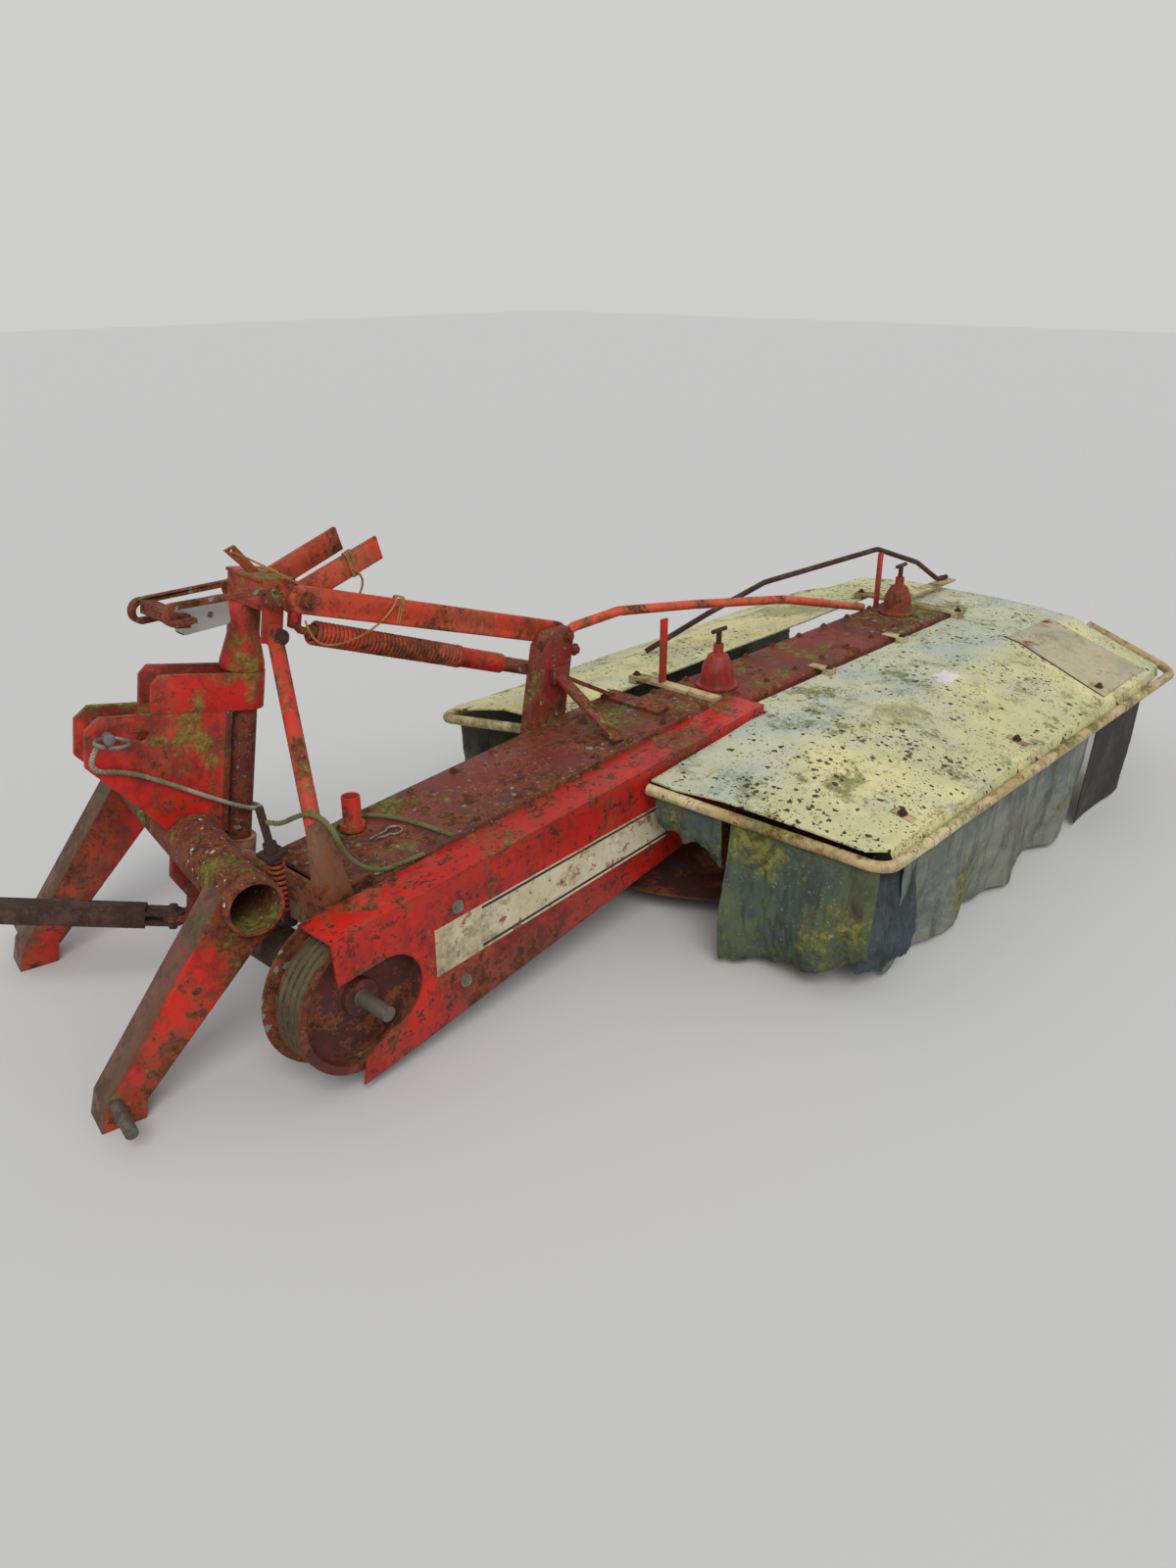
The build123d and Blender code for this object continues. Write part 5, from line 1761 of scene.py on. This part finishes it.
@dataclass
class TubeRim(Fitting):
    """The bright worn coat on the cross tube's near rim."""

    tube_end: Point = (0.0, -440.0, 0.0)
    outer: float = 62.0
    inner: float = 54.6
    proud: float = 0.7
    sunk: float = 0.3
    chamfer: float = 0.6
    steps: int = 64

    def build(self) -> None:
        """Makes the tube's rim."""
        shape = bmesh.new()
        loops = []
        for depth, radius in (
            (self.sunk, self.inner), (self.sunk, self.outer), (-self.proud, self.outer - self.chamfer),
            (-self.proud, self.inner + self.chamfer),
        ):
            turns = (2 * math.pi * index / self.steps for index in range(self.steps))
            loops.append([
                shape.verts.new((radius * math.cos(turn), depth, radius * math.sin(turn))) for turn in turns
            ])
        join_rings(shape, loops, closed=True)
        bmesh.ops.recalc_face_normals(shape, faces=shape.faces)
        mesh = mesh_from(shape, "tube_rim")
        mesh.transform(HITCH @ Matrix.Translation(metres(*self.tube_end)) @ Matrix.Scale(0.001, 4))
        self.dresser.add("tube_rim", mesh, Finish.RED_TIP, "hitch", "red_paint")


@dataclass
class LatchBlock(Fitting):
    """The bare metal block on the latch, with its hole."""

    centre: Point = (-145.0, -65.0, 532.0)
    size: Point = (112.0, 30.0, 58.0)
    tilt: float = 11.0
    hole: tuple[float, float] = (12.0, 8.0)
    proud: float = 0.8
    corner_reach: float = 0.9
    steps: int = 48

    def loops(self, shape: Shape, y: float, width: float, height: float) -> tuple[list, list]:
        """The outline and the hole's edge on one face of the block.

        Args:
            shape: The mesh that the points go into.
            y: The face's place across the block.
            width: Half the outline's width.
            height: Half its height.

        Returns:
            The outline's points and the hole's points.
        """
        offset, radius = self.hole
        radius -= self.proud
        outer, inner = [], []
        for index in range(self.steps):
            turn = 2 * math.pi * index / self.steps
            way = Vector((math.cos(turn), math.sin(turn)))
            sides = (
                half / max(abs(part), sys.float_info.epsilon)
                for half, part in ((width, way.x), (height, way.y))
            )
            reach = min(*sides, self.corner_reach * (width + height))
            outer.append(shape.verts.new((way.x * reach, y, way.y * reach)))
            inner.append(shape.verts.new((offset + way.x * radius, y, way.y * radius)))
        return outer, inner

    def build(self) -> None:
        """Makes the block's coat, hole and all."""
        width, depth, height = (value / 2 + self.proud for value in self.size)
        shape = bmesh.new()
        outer_near, inner_near = self.loops(shape, -depth, width, height)
        outer_far, inner_far = self.loops(shape, depth, width, height)
        join_rings(shape, (outer_near, inner_near, inner_far, outer_far), closed=True)
        bmesh.ops.recalc_face_normals(shape, faces=shape.faces)
        mesh = mesh_from(shape, "latch_block")
        place = TURRET @ Matrix.Translation(metres(*self.centre))
        place = place @ Matrix.Rotation(math.radians(-self.tilt), 4, "Y") @ Matrix.Scale(0.001, 4)
        mesh.transform(place)
        self.dresser.add("latch_block", mesh, Finish.WHITE_METAL, "turret", "rusty_iron")


@dataclass
class SpringClip(Fitting):
    """The sprung wire clip left on the beam: a ring with a leg at each end."""

    ring_centre: tuple[float, float] = (-1172.0, 48.0)
    ring_radius: float = 19.0
    ring_turns: tuple[int, int, int] = (140, -180, -20)
    first_leg: tuple[tuple[float, float], ...] = ((-64, 10), (-40, 13), (-26, 12))
    last_leg: tuple[tuple[float, float], ...] = ((-30, -8), (-46, 2), (-60, -4))
    wire: float = 3.0
    gap: float = 0.3
    sides: int = 10

    def build(self) -> None:
        """Makes the clip."""
        x, y = self.ring_centre
        turns = (math.radians(turn) for turn in range(*self.ring_turns))
        ring = [(self.ring_radius * math.cos(turn), self.ring_radius * math.sin(turn)) for turn in turns]
        points = [
            metres(x + along, y + across, beam_top(x + along) + self.wire + self.gap)
            for along, across in (*self.first_leg, *ring, *self.last_leg)
        ]
        mesh = tube_mesh("spring_clip", points, self.wire / 1000, self.sides)
        self.dresser.add("spring_clip", mesh, Finish.STEEL, "mower", "bare_steel")


@dataclass(frozen=True)
class Bolts:
    """Bolts of one size on one node. A head's height is a share of its radius."""

    name: str
    node: str
    finish: Finish
    facing: Point
    places: tuple[Point, ...]
    head: float
    height: ClassVar[float] = 0.8

    def build(self, dresser: Dresser) -> Piece:
        """Seats the bolts on their node and makes them.

        Args:
            dresser: Finds the surface and attaches the piece.

        Returns:
            The bolts.
        """
        facing = Vector(self.facing).normalized()
        points = [(dresser.seat(self.node, metres(*place), facing), facing) for place in self.places]
        piece = Repeats.run(
            self.name, point_mesh(self.name, points), Repeats.bolts(), self.finish,
            Head_Radius=self.head / 1000, Head_Height=self.head * self.height / 1000,
        )
        return dresser.attach(piece, dresser.body_of(self.node), dresser.slot_of(self.node))


@dataclass
class Fasteners(Fitting):
    """The mower's bolts, by node."""

    case_stations: tuple[int, int, int] = (-170, 1200, 152)
    case_sides: tuple[int, int] = (-84, 100)
    beam_stations: tuple[int, int, int] = (-1290, -200, 138)
    beam_sides: tuple[int, int] = (176, -62)
    bar_near: tuple[float, ...] = (350, 800, 1195)
    bar_far: tuple[float, ...] = (-102, 1195)
    bar_sides: tuple[int, int] = (-165, 221)
    cover: tuple[Point, ...] = ((-1211, -207, 343), (-1197, -207, 147))
    post: tuple[Point, ...] = ((-425, 200, 697), (-398, 200, 652), (-430, 200, 560))
    link: tuple[Point, ...] = ((-1227, 220, 949), (-425, 220, 697))
    brace: Point = (10, -118, 488)
    above: float = 495

    def table(self) -> tuple[Bolts, ...]:
        """All bolt rows: name, node, finish, facing, places and head radius."""
        up, near = (0.0, 0.0, 1.0), (0.0, -1.0, 0.0)
        case = tuple((x, y, self.above) for x in range(*self.case_stations) for y in self.case_sides)
        beam = tuple((x, y, beam_top(x)) for x in range(*self.beam_stations) for y in self.beam_sides)
        bars = tuple(
            (x, y, self.above) for row, y in zip((self.bar_near, self.bar_far), self.bar_sides) for x in row
        )
        brace = tuple(1000 * (TURRET @ metres(*self.brace)))
        head = tuple(TURRET.to_3x3() @ Vector(near))
        return (
            Bolts("cover_bolts", "belt_cover", Finish.STEEL, near, self.cover, 11),
            Bolts("case_bolts", "gear_case", Finish.RED_DARK, up, case, 8),
            Bolts("beam_bolts", "beam", Finish.RED_DARK, up, beam, 7.5),
            Bolts("bar_bolts", "cross_bars", Finish.IRON, up, bars, 8.5),
            Bolts("post_bolts", "post", Finish.RED_DARK, near, self.post, 12),
            Bolts("link_bolts", "upper_link", Finish.RED_DARK, near, self.link, 15),
            Bolts("brace_bolt", "turret_brace", Finish.IRON, head, (brace,), 13),
        )

    def build(self) -> None:
        """Makes every row."""
        for bolts in self.table():
            bolts.build(self.dresser)


@dataclass(frozen=True)
class Clip:
    """A flat strap from the guard over its rail, with its bolt."""

    name: str
    station: float
    rail_line: float
    rail_height: float
    rail_radius: ClassVar[float] = RAIL_RADIUS
    width: ClassVar[float] = 30.0
    sheet: ClassVar[float] = 3.0
    gap: ClassVar[float] = 0.4
    tail: ClassVar[float] = 92.0
    tail_gap: ClassVar[float] = 4.0
    tail_shares: ClassVar[tuple[float, ...]] = (1.0, 0.7, 0.4)
    wrap: ClassVar[tuple[int, ...]] = (62, 90, 125, 160, 195, 228)
    sheet_height: ClassVar[float] = 420.0
    bolt_rise: ClassVar[float] = 0.0016
    bolt_size: ClassVar[tuple[float, float]] = (0.009, 0.008)

    def profile(self, dresser: Dresser) -> list[Vector]:
        """The strap's path.

        Args:
            dresser: Finds the guard's surface.

        Returns:
            The path's points, from the tail on the guard over the rail.
        """
        up = Vector((0, 0, 1))
        half = self.sheet / 2 + self.gap
        path = []
        for share in self.tail_shares:
            y = self.rail_line + self.rail_radius + self.tail_gap + self.tail * share
            place = metres(self.station, y, self.sheet_height)
            path.append(dresser.seat("guard_rear", place, up) + up * half / 1000)
        reach = self.rail_radius + half
        for turn in map(math.radians, self.wrap):
            y, z = self.rail_line + reach * math.cos(turn), self.rail_height + reach * math.sin(turn)
            path.append(metres(self.station, y, z))
        return path

    def build(self, dresser: Dresser) -> None:
        """Makes the strap and its bolt.

        Args:
            dresser: Finds the guard's surface and attaches the pieces.
        """
        path = self.profile(dresser)
        shape = bmesh.new()
        side = Vector((self.width / 2000, 0, 0))
        pairs = [(shape.verts.new(point - side), shape.verts.new(point + side)) for point in path]
        for (a, b), (c, d) in zip(pairs, pairs[1:]):
            shape.faces.new((a, b, d, c))
        bmesh.ops.recalc_face_normals(shape, faces=shape.faces)
        bmesh.ops.solidify(shape, geom=shape.faces[:], thickness=self.sheet / 1000)
        dresser.add(self.name, mesh_from(shape, self.name), Finish.CREAM_RAIL, "mower", "cream_paint")
        up = Vector((0, 0, 1))
        radius, height = self.bolt_size
        bolt = Repeats.run(
            f"{self.name}_bolt", point_mesh(self.name, [(path[1] + up * self.bolt_rise, up)]),
            Repeats.bolts(), Finish.IRON, Head_Radius=radius, Head_Height=height,
        )
        dresser.attach(bolt, "mower", "rusty_iron")


@dataclass(frozen=True)
class Lashing:
    """Turns of twine drawn tight round a bar."""

    name: str
    body: str
    centre: Point
    along: Point
    half: tuple[float, float]
    turns: float = 4.0
    twine: float = 2.2
    finish: Finish = Finish.TWINE
    in_turret: bool = False
    steps: ClassVar[int] = 24
    sides: ClassVar[int] = 8
    squareness: ClassVar[float] = 0.32
    spacing: ClassVar[float] = 2.3
    looseness: ClassVar[float] = 3.0
    shake: ClassVar[float] = 0.11

    def build(self, dresser: Dresser) -> Piece:
        """Winds the twine into an angular coil round the bar.

        Args:
            dresser: Attaches the piece.

        Returns:
            The lashing.
        """
        frame = TURRET if self.in_turret else Matrix.Identity(4)
        along = (frame.to_3x3() @ Vector(self.along)).normalized()
        side = frame.to_3x3() @ Vector((0, 1, 0))
        side = (side - along * side.dot(along)).normalized()
        up = along.cross(side)
        centre = frame @ metres(*self.centre)
        width, depth = (value + self.twine for value in self.half)
        steps = int(self.turns * self.steps)
        line = []
        for index in range(steps + 1):
            turn = 2 * math.pi * self.turns * index / steps
            across, rise = (
                math.copysign(abs(part) ** self.squareness, part) * half
                for part, half in ((math.cos(turn), width), (math.sin(turn), depth))
            )
            shift = (index / steps - 0.5) * self.turns * self.twine * self.spacing
            shift += self.looseness * noise.noise(Vector((index * self.shake, width, depth)))
            line.append(centre + (side * across + up * rise + along * shift) / 1000)
        mesh = tube_mesh(self.name, line, self.twine / 1000, self.sides)
        return dresser.add(self.name, mesh, self.finish, self.body, "rope_fibre")


@dataclass
class Ropes(Fitting):
    """The ropes that hang about the hitch and lie on the beam, and the twine on the levers."""

    mast_points: tuple[Point, ...] = (
        (-222, -93, 247.5), (-233, -80, 212), (-212, -64, 184), (-172, -63, 182), (-130, -63, 173),
        (-80, -62, 153), (-30, -62, 131), (22, -62, 108), (70, -60, 87), (118, -58, 68),
        (158, -42, 56), (176, -12, 47), (174, 18, 44), (158, 43, 40), (134, 54, 38), (112, 50, 37),
        (94.2, 36.8, 36),
    )
    turret_points: tuple[Point, ...] = (
        (-1491, 59.2, 561), (-1481, 40, 559), (-1477, 12, 571), (-1473, -20, 591), (-1464, -55, 608),
        (-1453, -84, 606), (-1442, -102, 582), (-1431, -106, 549), (-1413, -101, 511),
        (-1386, -95, 478), (-1352, -91, 449), (-1315, -88, 430), (-1276, -87, 427), (-1238, -91, 428),
        (-1204, -96, 432),
    )
    beam_points: tuple[tuple[float, float], ...] = (
        (-1270, 112), (-1269, 150), (-1235, 180), (-1190, 178), (-1155, 143), (-1134, 92),
        (-1121, 40), (-1114, -10), (-1110, -56), (-1107, -82),
    )
    rope_lift: float = 5.8
    lever_points: tuple[Point, ...] = (
        (-46, -12, 653), (-36, -30, 650), (-20, -70, 641), (10, -102, 626), (39, -113, 610),
        (97, -114, 585), (158, -115, 556), (190, -115, 547), (220, -115, 560), (236, -115, 590),
        (232, -114, 618), (205, -113, 633),
    )
    link_points: tuple[Point, ...] = (
        (-967, 246, 906), (-972, 232, 903), (-988, 229, 886), (-1008, 228, 871), (-1044, 228, 850),
        (-1105, 228, 834), (-1165, 229, 832), (-1206, 230, 846), (-1226, 231, 880), (-1232, 231, 905),
    )
    twine: ClassVar[dict[str, Any]] = {"radius": 2.7, "pitch": 15.0, "sides": 6, "finish": Finish.TWINE}
    lashings: tuple[Lashing, ...] = (
        Lashing("link_lashing", "link", (-965, 246, 871), (802, 0, -252), (12, 31), 2.5),
        Lashing("lever_lashing", "turret", (205, -104, 642), (223, 0, 111), (4, 28.5), 3.5, in_turret=True),
    )

    def build(self) -> None:
        """Lays the ropes, the twine and its lashings."""
        mast = tuple(HITCH @ metres(*point) for point in self.mast_points)
        turret = tuple(metres(*point) for point in self.turret_points)
        beam = tuple(metres(x, y, beam_top(x) + self.rope_lift) for x, y in self.beam_points)
        for name, node, body, points, far_end, finish in (
            ("mast_rope", "rope_mast", "hitch", mast, "object", Finish.ROPE),
            ("turret_rope", "rope_turret", "turret", turret, "bare", Finish.ROPE_GREEN),
            ("beam_rope", "rope_beam", "mower", beam, "bare", Finish.ROPE_GREEN),
        ):
            Rope(name, node, body, points, far_end, "loose", finish=finish).build(self.dresser)
        lever = tuple(TURRET @ metres(*point) for point in self.lever_points)
        link = tuple(metres(*point) for point in self.link_points)
        for name, body, points in (("lever_twine", "turret", lever), ("link_twine", "link", link)):
            Rope(name, None, body, points, "bare", "loose", **self.twine).build(self.dresser)
        for lashing in self.lashings:
            lashing.build(self.dresser)


@dataclass(frozen=True)
class Curtain:
    """One canvas curtain that hangs from a run of a rail. Lengths are in millimetres.

    `fold` unpacks the drift, ripple and pleat by name, and `crumple` the coarse and the fine creases.
    """

    name: str
    node: str | None
    start: Point
    end: Point
    finish: Finish
    slot: str
    hem: float = 10.0
    tuck: float = 40.0
    wave: float = 14.0
    waves: float = 5.0
    ragged: float = 14.0
    bulge: float = 0.0
    creases: float = 4.0
    hem_rise: float = 0.0
    tears: float = 9.0
    seed: float = 1.0
    thick: float = 2.4
    columns: int = 120
    rows: int = 26
    rail_gap: ClassVar[float] = 1.0
    middle: ClassVar[Point] = (500.0, 0.0, 0.0)
    hem_row: ClassVar[float] = 0.3
    hem_curve: ClassVar[float] = 1.6
    tuck_curve: ClassVar[float] = 1.3
    bulge_curve: ClassVar[float] = 1.7
    wave_curve: ClassVar[float] = 1.1
    drift: ClassVar[tuple[float, ...]] = (0.9, 3.1, 4.0)
    drift_share: ClassVar[float] = 0.35
    ripple: ClassVar[tuple[float, ...]] = (0.25, 2.3, 1.7, 2)
    pleat: ClassVar[tuple[float, ...]] = (0.8, 1.6, 2.2)
    coarse: ClassVar[tuple[float, ...]] = (13, 3, 9, 7)
    fine: ClassVar[tuple[float, ...]] = (31, 15, 8)
    fine_share: ClassVar[float] = 0.6
    crease_start: ClassVar[float] = 3

    def outward(self) -> Vector:
        """The level direction away from the cutter's middle."""
        run = metres(*self.end) - metres(*self.start)
        side = Vector((run.y, -run.x, 0)).normalized()
        middle = (metres(*self.start) + metres(*self.end)) / 2
        return side if side.dot(middle - metres(*self.middle)) > 0 else -side

    def fold(self, across: float, down: float) -> float:
        """How far the folds stand out, as a share of the wave.

        Args:
            across: Share of the way along the rail.
            down: Share of the way from the rail to the hem.

        Returns:
            The share, below zero where they go in.
        """
        size, rate, row = self.drift
        drift = size * noise.noise(Vector((across * rate, self.seed, row)))
        fold = math.sin(2 * math.pi * (self.waves * across + drift * self.drift_share) + self.seed)
        size, rate, turn, lean = self.ripple
        fold += size * math.sin(2 * math.pi * self.waves * rate * across + turn * self.seed + lean * down)
        size, rate, fall = self.pleat
        return fold + size * noise.noise(Vector((across * self.waves * rate, down * fall, self.seed)))

    def crumple(self, across: float, down: float) -> float:
        """How far the creases stand out, as a share of their size.

        Args:
            across: Share of the way along the rail.
            down: Share of the way from the rail to the hem.

        Returns:
            The share, below zero where they go in.
        """
        rate, lean, fall, shift = self.coarse
        coarse = noise.noise(Vector((across * rate + lean * down, down * fall, self.seed + shift)))
        rate, fall, lean = self.fine
        fine = noise.noise(Vector((across * rate, down * fall - across * lean, self.seed)))
        return coarse + self.fine_share * fine

    def surface(self, across: float, down: float, side: Vector) -> Vector:
        """A point of the cloth.

        Args:
            across: Share of the way along the rail.
            down: Share of the way from the rail to the hem.
            side: The outward direction.

        Returns:
            The point, in metres.
        """
        rail = metres(*self.start).lerp(metres(*self.end), across)
        head = rail - Vector((0, 0, (RAIL_RADIUS + self.rail_gap) / 1000))
        hem_wave = noise.noise(Vector((across * self.tears, self.seed, self.hem_row))) * self.ragged / 1000
        hem = (self.hem + self.hem_rise * across**self.hem_curve) / 1000
        foot_z = hem + max(0.0, hem_wave + self.ragged / 2000)
        place = head.copy()
        place.z = head.z + (foot_z - head.z) * down
        tuck = -self.tuck / 1000 * down**self.tuck_curve
        sag = tuck + self.bulge / 1000 * math.sin(math.pi * down**self.bulge_curve)
        wave = self.wave / 1000 * self.fold(across, down) * down**self.wave_curve
        crease = self.creases / 1000 * self.crumple(across, down) * min(1.0, down * self.crease_start)
        return place + side * (sag + wave + crease)

    def build(self, dresser: Dresser) -> Piece:
        """Makes the cloth, lays out its UVs at its flat size and rides it on the mower.

        Args:
            dresser: Attaches the piece.

        Returns:
            The curtain.
        """
        side = self.outward()
        points = [
            [self.surface(i / self.columns, j / self.rows, side) for i in range(self.columns + 1)]
            for j in range(self.rows + 1)
        ]
        mesh = bpy.data.meshes.new(self.name)
        wide = self.columns + 1
        faces = [
            (j * wide + i, j * wide + i + 1, (j + 1) * wide + i + 1, (j + 1) * wide + i)
            for j in range(self.rows)
            for i in range(self.columns)
        ]
        mesh.from_pydata([p for row in points for p in row], [], faces)
        area = sum(face.area for face in mesh.polygons)
        width = sum((a - b).length for a, b in zip(points[0], points[0][1:]))
        length = area / width
        layer = mesh.uv_layers.new(name="UVMap")
        for loop in mesh.loops:
            row, column = divmod(loop.vertex_index, wide)
            layer.data[loop.index].uv = (column / self.columns * width, row / self.rows * length)
        piece = new_piece(self.name, mesh, self.finish)
        solid = piece.modifiers.new("thickness", "SOLIDIFY")
        solid.thickness = self.thick / 1000
        solid.offset = 0.0
        bake_modifiers(piece)
        finish_mesh(piece.data, self.finish)
        dresser.attach(piece, "mower", self.slot, *([self.node] if self.node else []))
        return piece


@dataclass
class Mower(Fitting):
    """Dresses every sub-assembly in order."""

    soft_edges: tuple[tuple[str, float, Finish], ...] = (
        ("cross_tube", 0.0015, Finish.TUBE),
        ("hitch_legs", 0.003, Finish.LEG),
        ("mast_plates", 0.002, Finish.RED),
        ("column_clamp", 0.003, Finish.RED),
        ("column", 0.002, Finish.RED_DARK),
        ("stay_bracket", 0.0015, Finish.RED_DARK),
        ("stay_bar", 0.0015, Finish.IRON),
        ("lower_link_pins", 0.002, Finish.DARK_STEEL),
        ("top_link_pin", 0.0015, Finish.STEEL),
        ("king_pin", 0.0015, Finish.RED),
        ("turret_head", 0.0025, Finish.RED),
        ("latch_links", 0.002, Finish.RED_DARK),
        ("lever_bars", 0.0015, Finish.RED_FADED),
        ("turret_brace", 0.0015, Finish.RED),
        ("turret_foot", 0.002, Finish.BEIGE),
        ("beam", 0.003, Finish.BEAM_TOP),
        ("pivot_tube", 0.0012, Finish.RED),
        ("belt_cover", 0.0015, Finish.RED_BRIGHT),
        ("belt_back_sheet", 0.001, Finish.RED_DARK),
        ("shaft_housing", 0.002, Finish.IRON),
        ("drive_belts", 0.001, Finish.BELT),
        ("gear_case", 0.0015, Finish.RED_DARK),
        ("adjuster_caps", 0.002, Finish.CRIMSON),
        ("adjuster_handles", 0.0012, Finish.IRON),
        ("post", 0.0025, Finish.RED_DARK),
        ("post_braces", 0.0015, Finish.RED_DARK),
        ("tie_rod", 0.001, Finish.ORANGE),
        ("cross_bars", 0.0012, Finish.CREAM_RAIL),
        ("thin_posts", 0.001, Finish.RED),
        ("rail_rear", 0.001, Finish.CREAM_RAIL),
        ("rail_front", 0.001, Finish.CREAM_RAIL),
        ("hoop_bar", 0.001, Finish.IRON),
        ("drive_shaft", 0.0015, Finish.DARK_STEEL),
        ("drive_pulley", 0.0015, Finish.PULLEY),
        ("driven_pulley", 0.001, Finish.IRON),
        ("upper_link", 0.003, Finish.RED_FADED),
    )
    plain: tuple[tuple[str, Finish], ...] = (
        ("drum_spindles", Finish.IRON),
        ("drum_inner", Finish.DRUM),
        ("drum_outer", Finish.DRUM),
        ("flare_inner", Finish.DRUM),
        ("flare_outer", Finish.DRUM),
        ("knives_inner", Finish.STEEL),
        ("knives_outer", Finish.STEEL),
        ("dish_inner", Finish.IRON),
        ("dish_outer", Finish.IRON),
    )

    clips: tuple[tuple[str, float], ...] = (
        ("inner_clip", -233.0), ("middle_clip", 420.0), ("outer_clip", 1030.0),
    )
    rail_start: tuple[float, float] = (-446.0, 350.0)
    rail_fall: float = 0.002
    guards: tuple[str, ...] = ("guard_rear", "guard_front", "guard_end")
    guard_edge: float = 0.001
    inner_run: tuple[Point, Point] = ((-590, -228, 424), (-446, REAR_LINE, 350))
    rear_run: tuple[Point, Point] = ((-446, REAR_LINE, 350), (1500, REAR_LINE, 346))
    front_run: tuple[Point, Point] = ((-490, FRONT_LINE, 356), (1520, FRONT_LINE, 350))
    rail_corner: Point = (-452, -768, 350)

    def dress_steel(self) -> None:
        """Rounds the steel pieces' edges and gives each its finish."""
        for node, width, finish in self.soft_edges:
            self.dresser.soften(node, width, finish)
        for node, finish in self.plain:
            self.dresser.paint(node, finish)

    def dress_guards(self) -> None:
        """Dents the guard sheets and paints them cream."""
        for node in self.guards:
            self.dresser.soften(node, self.guard_edge, Finish.CREAM, dents=Marks.guard_dents / 1000)

    @staticmethod
    def along(run: tuple[Point, Point], share: float) -> Point:
        """A point of a run, in millimetres."""
        start, end = (metres(*point) for point in run)
        return tuple(start.lerp(end, share) * 1000)

    def hang_curtains(self) -> None:
        """Hangs the canvas and the rubber flap."""
        part, inner, rear, front = self.along, self.inner_run, self.rear_run, self.front_run
        hung = (
            Curtain(
                "inner_canvas", "curtain_inner", part(inner, 0.37), part(inner, 0.975),
                Finish.CANVAS_GREEN, "curtain_green", waves=1.6, wave=24.0, bulge=34.0, tuck=-22.0,
                ragged=12.0, creases=10.0, hem_rise=78.0, seed=1.3,
            ),
            Curtain(
                "rear_canvas", "curtain_rear", part(rear, 0.045), part(rear, 0.62), Finish.CANVAS_GREY,
                "curtain_grey", waves=3.2, wave=18.0, bulge=6.0, tuck=30.0, ragged=12.0, creases=6.0,
                seed=2.3,
            ),
            Curtain(
                "corner_canvas", None, self.rail_corner, part(rear, 0.075), Finish.CANVAS_BLUE,
                "curtain_grey", waves=0.9, wave=12.0, bulge=26.0, tuck=-8.0, ragged=10.0, creases=7.0,
                hem=52.0, seed=6.1, columns=40,
            ),
            Curtain(
                "outer_flap", "flap_outer", part(rear, 0.65), part(rear, 0.84), Finish.FLAP,
                "flap_rubber", waves=0.6, wave=7.0, tuck=16.0, ragged=3.0, creases=1.0, seed=3.3,
            ),
            Curtain(
                "front_canvas", "curtain_front", part(front, 0.04), part(front, 0.95),
                Finish.CANVAS_GREY, "curtain_grey", waves=6.0, wave=16.0, bulge=4.0, tuck=36.0,
                ragged=14.0, creases=6.0, seed=4.3,
            ),
            Curtain(
                "torn_canvas", None, part(inner, 0.04), part(inner, 0.33), Finish.CANVAS_GREEN,
                "curtain_green", waves=1.3, wave=10.0, bulge=8.0, tuck=10.0, ragged=60.0, creases=6.0,
                hem=296.0, hem_rise=-60.0, tears=4.0, seed=9.7, columns=50, rows=12,
            ),
        )
        for curtain in hung:
            curtain.build(self.dresser)

    def build(self) -> None:
        """Builds everything on the mower."""
        self.dress_steel()
        self.dress_guards()
        for kind in (Springs, Ropes, Strip, Marks, TubeRim, LatchBlock, SpringClip, Fasteners):
            kind(self.dresser).build()
        for name, station in self.clips:
            rail_height = self.rail_start[1] - self.rail_fall * (station - self.rail_start[0])
            Clip(name, station, REAR_LINE, rail_height).build(self.dresser)
        self.hang_curtains()


def main() -> None:
    """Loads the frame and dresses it."""
    logging.basicConfig(level=logging.INFO, format="%(name)s %(message)s")
    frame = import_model()
    Studio().build()
    Mower(Dresser(frame)).build()
    bpy.context.view_layer.update()


if __name__ == "__main__":
    main()
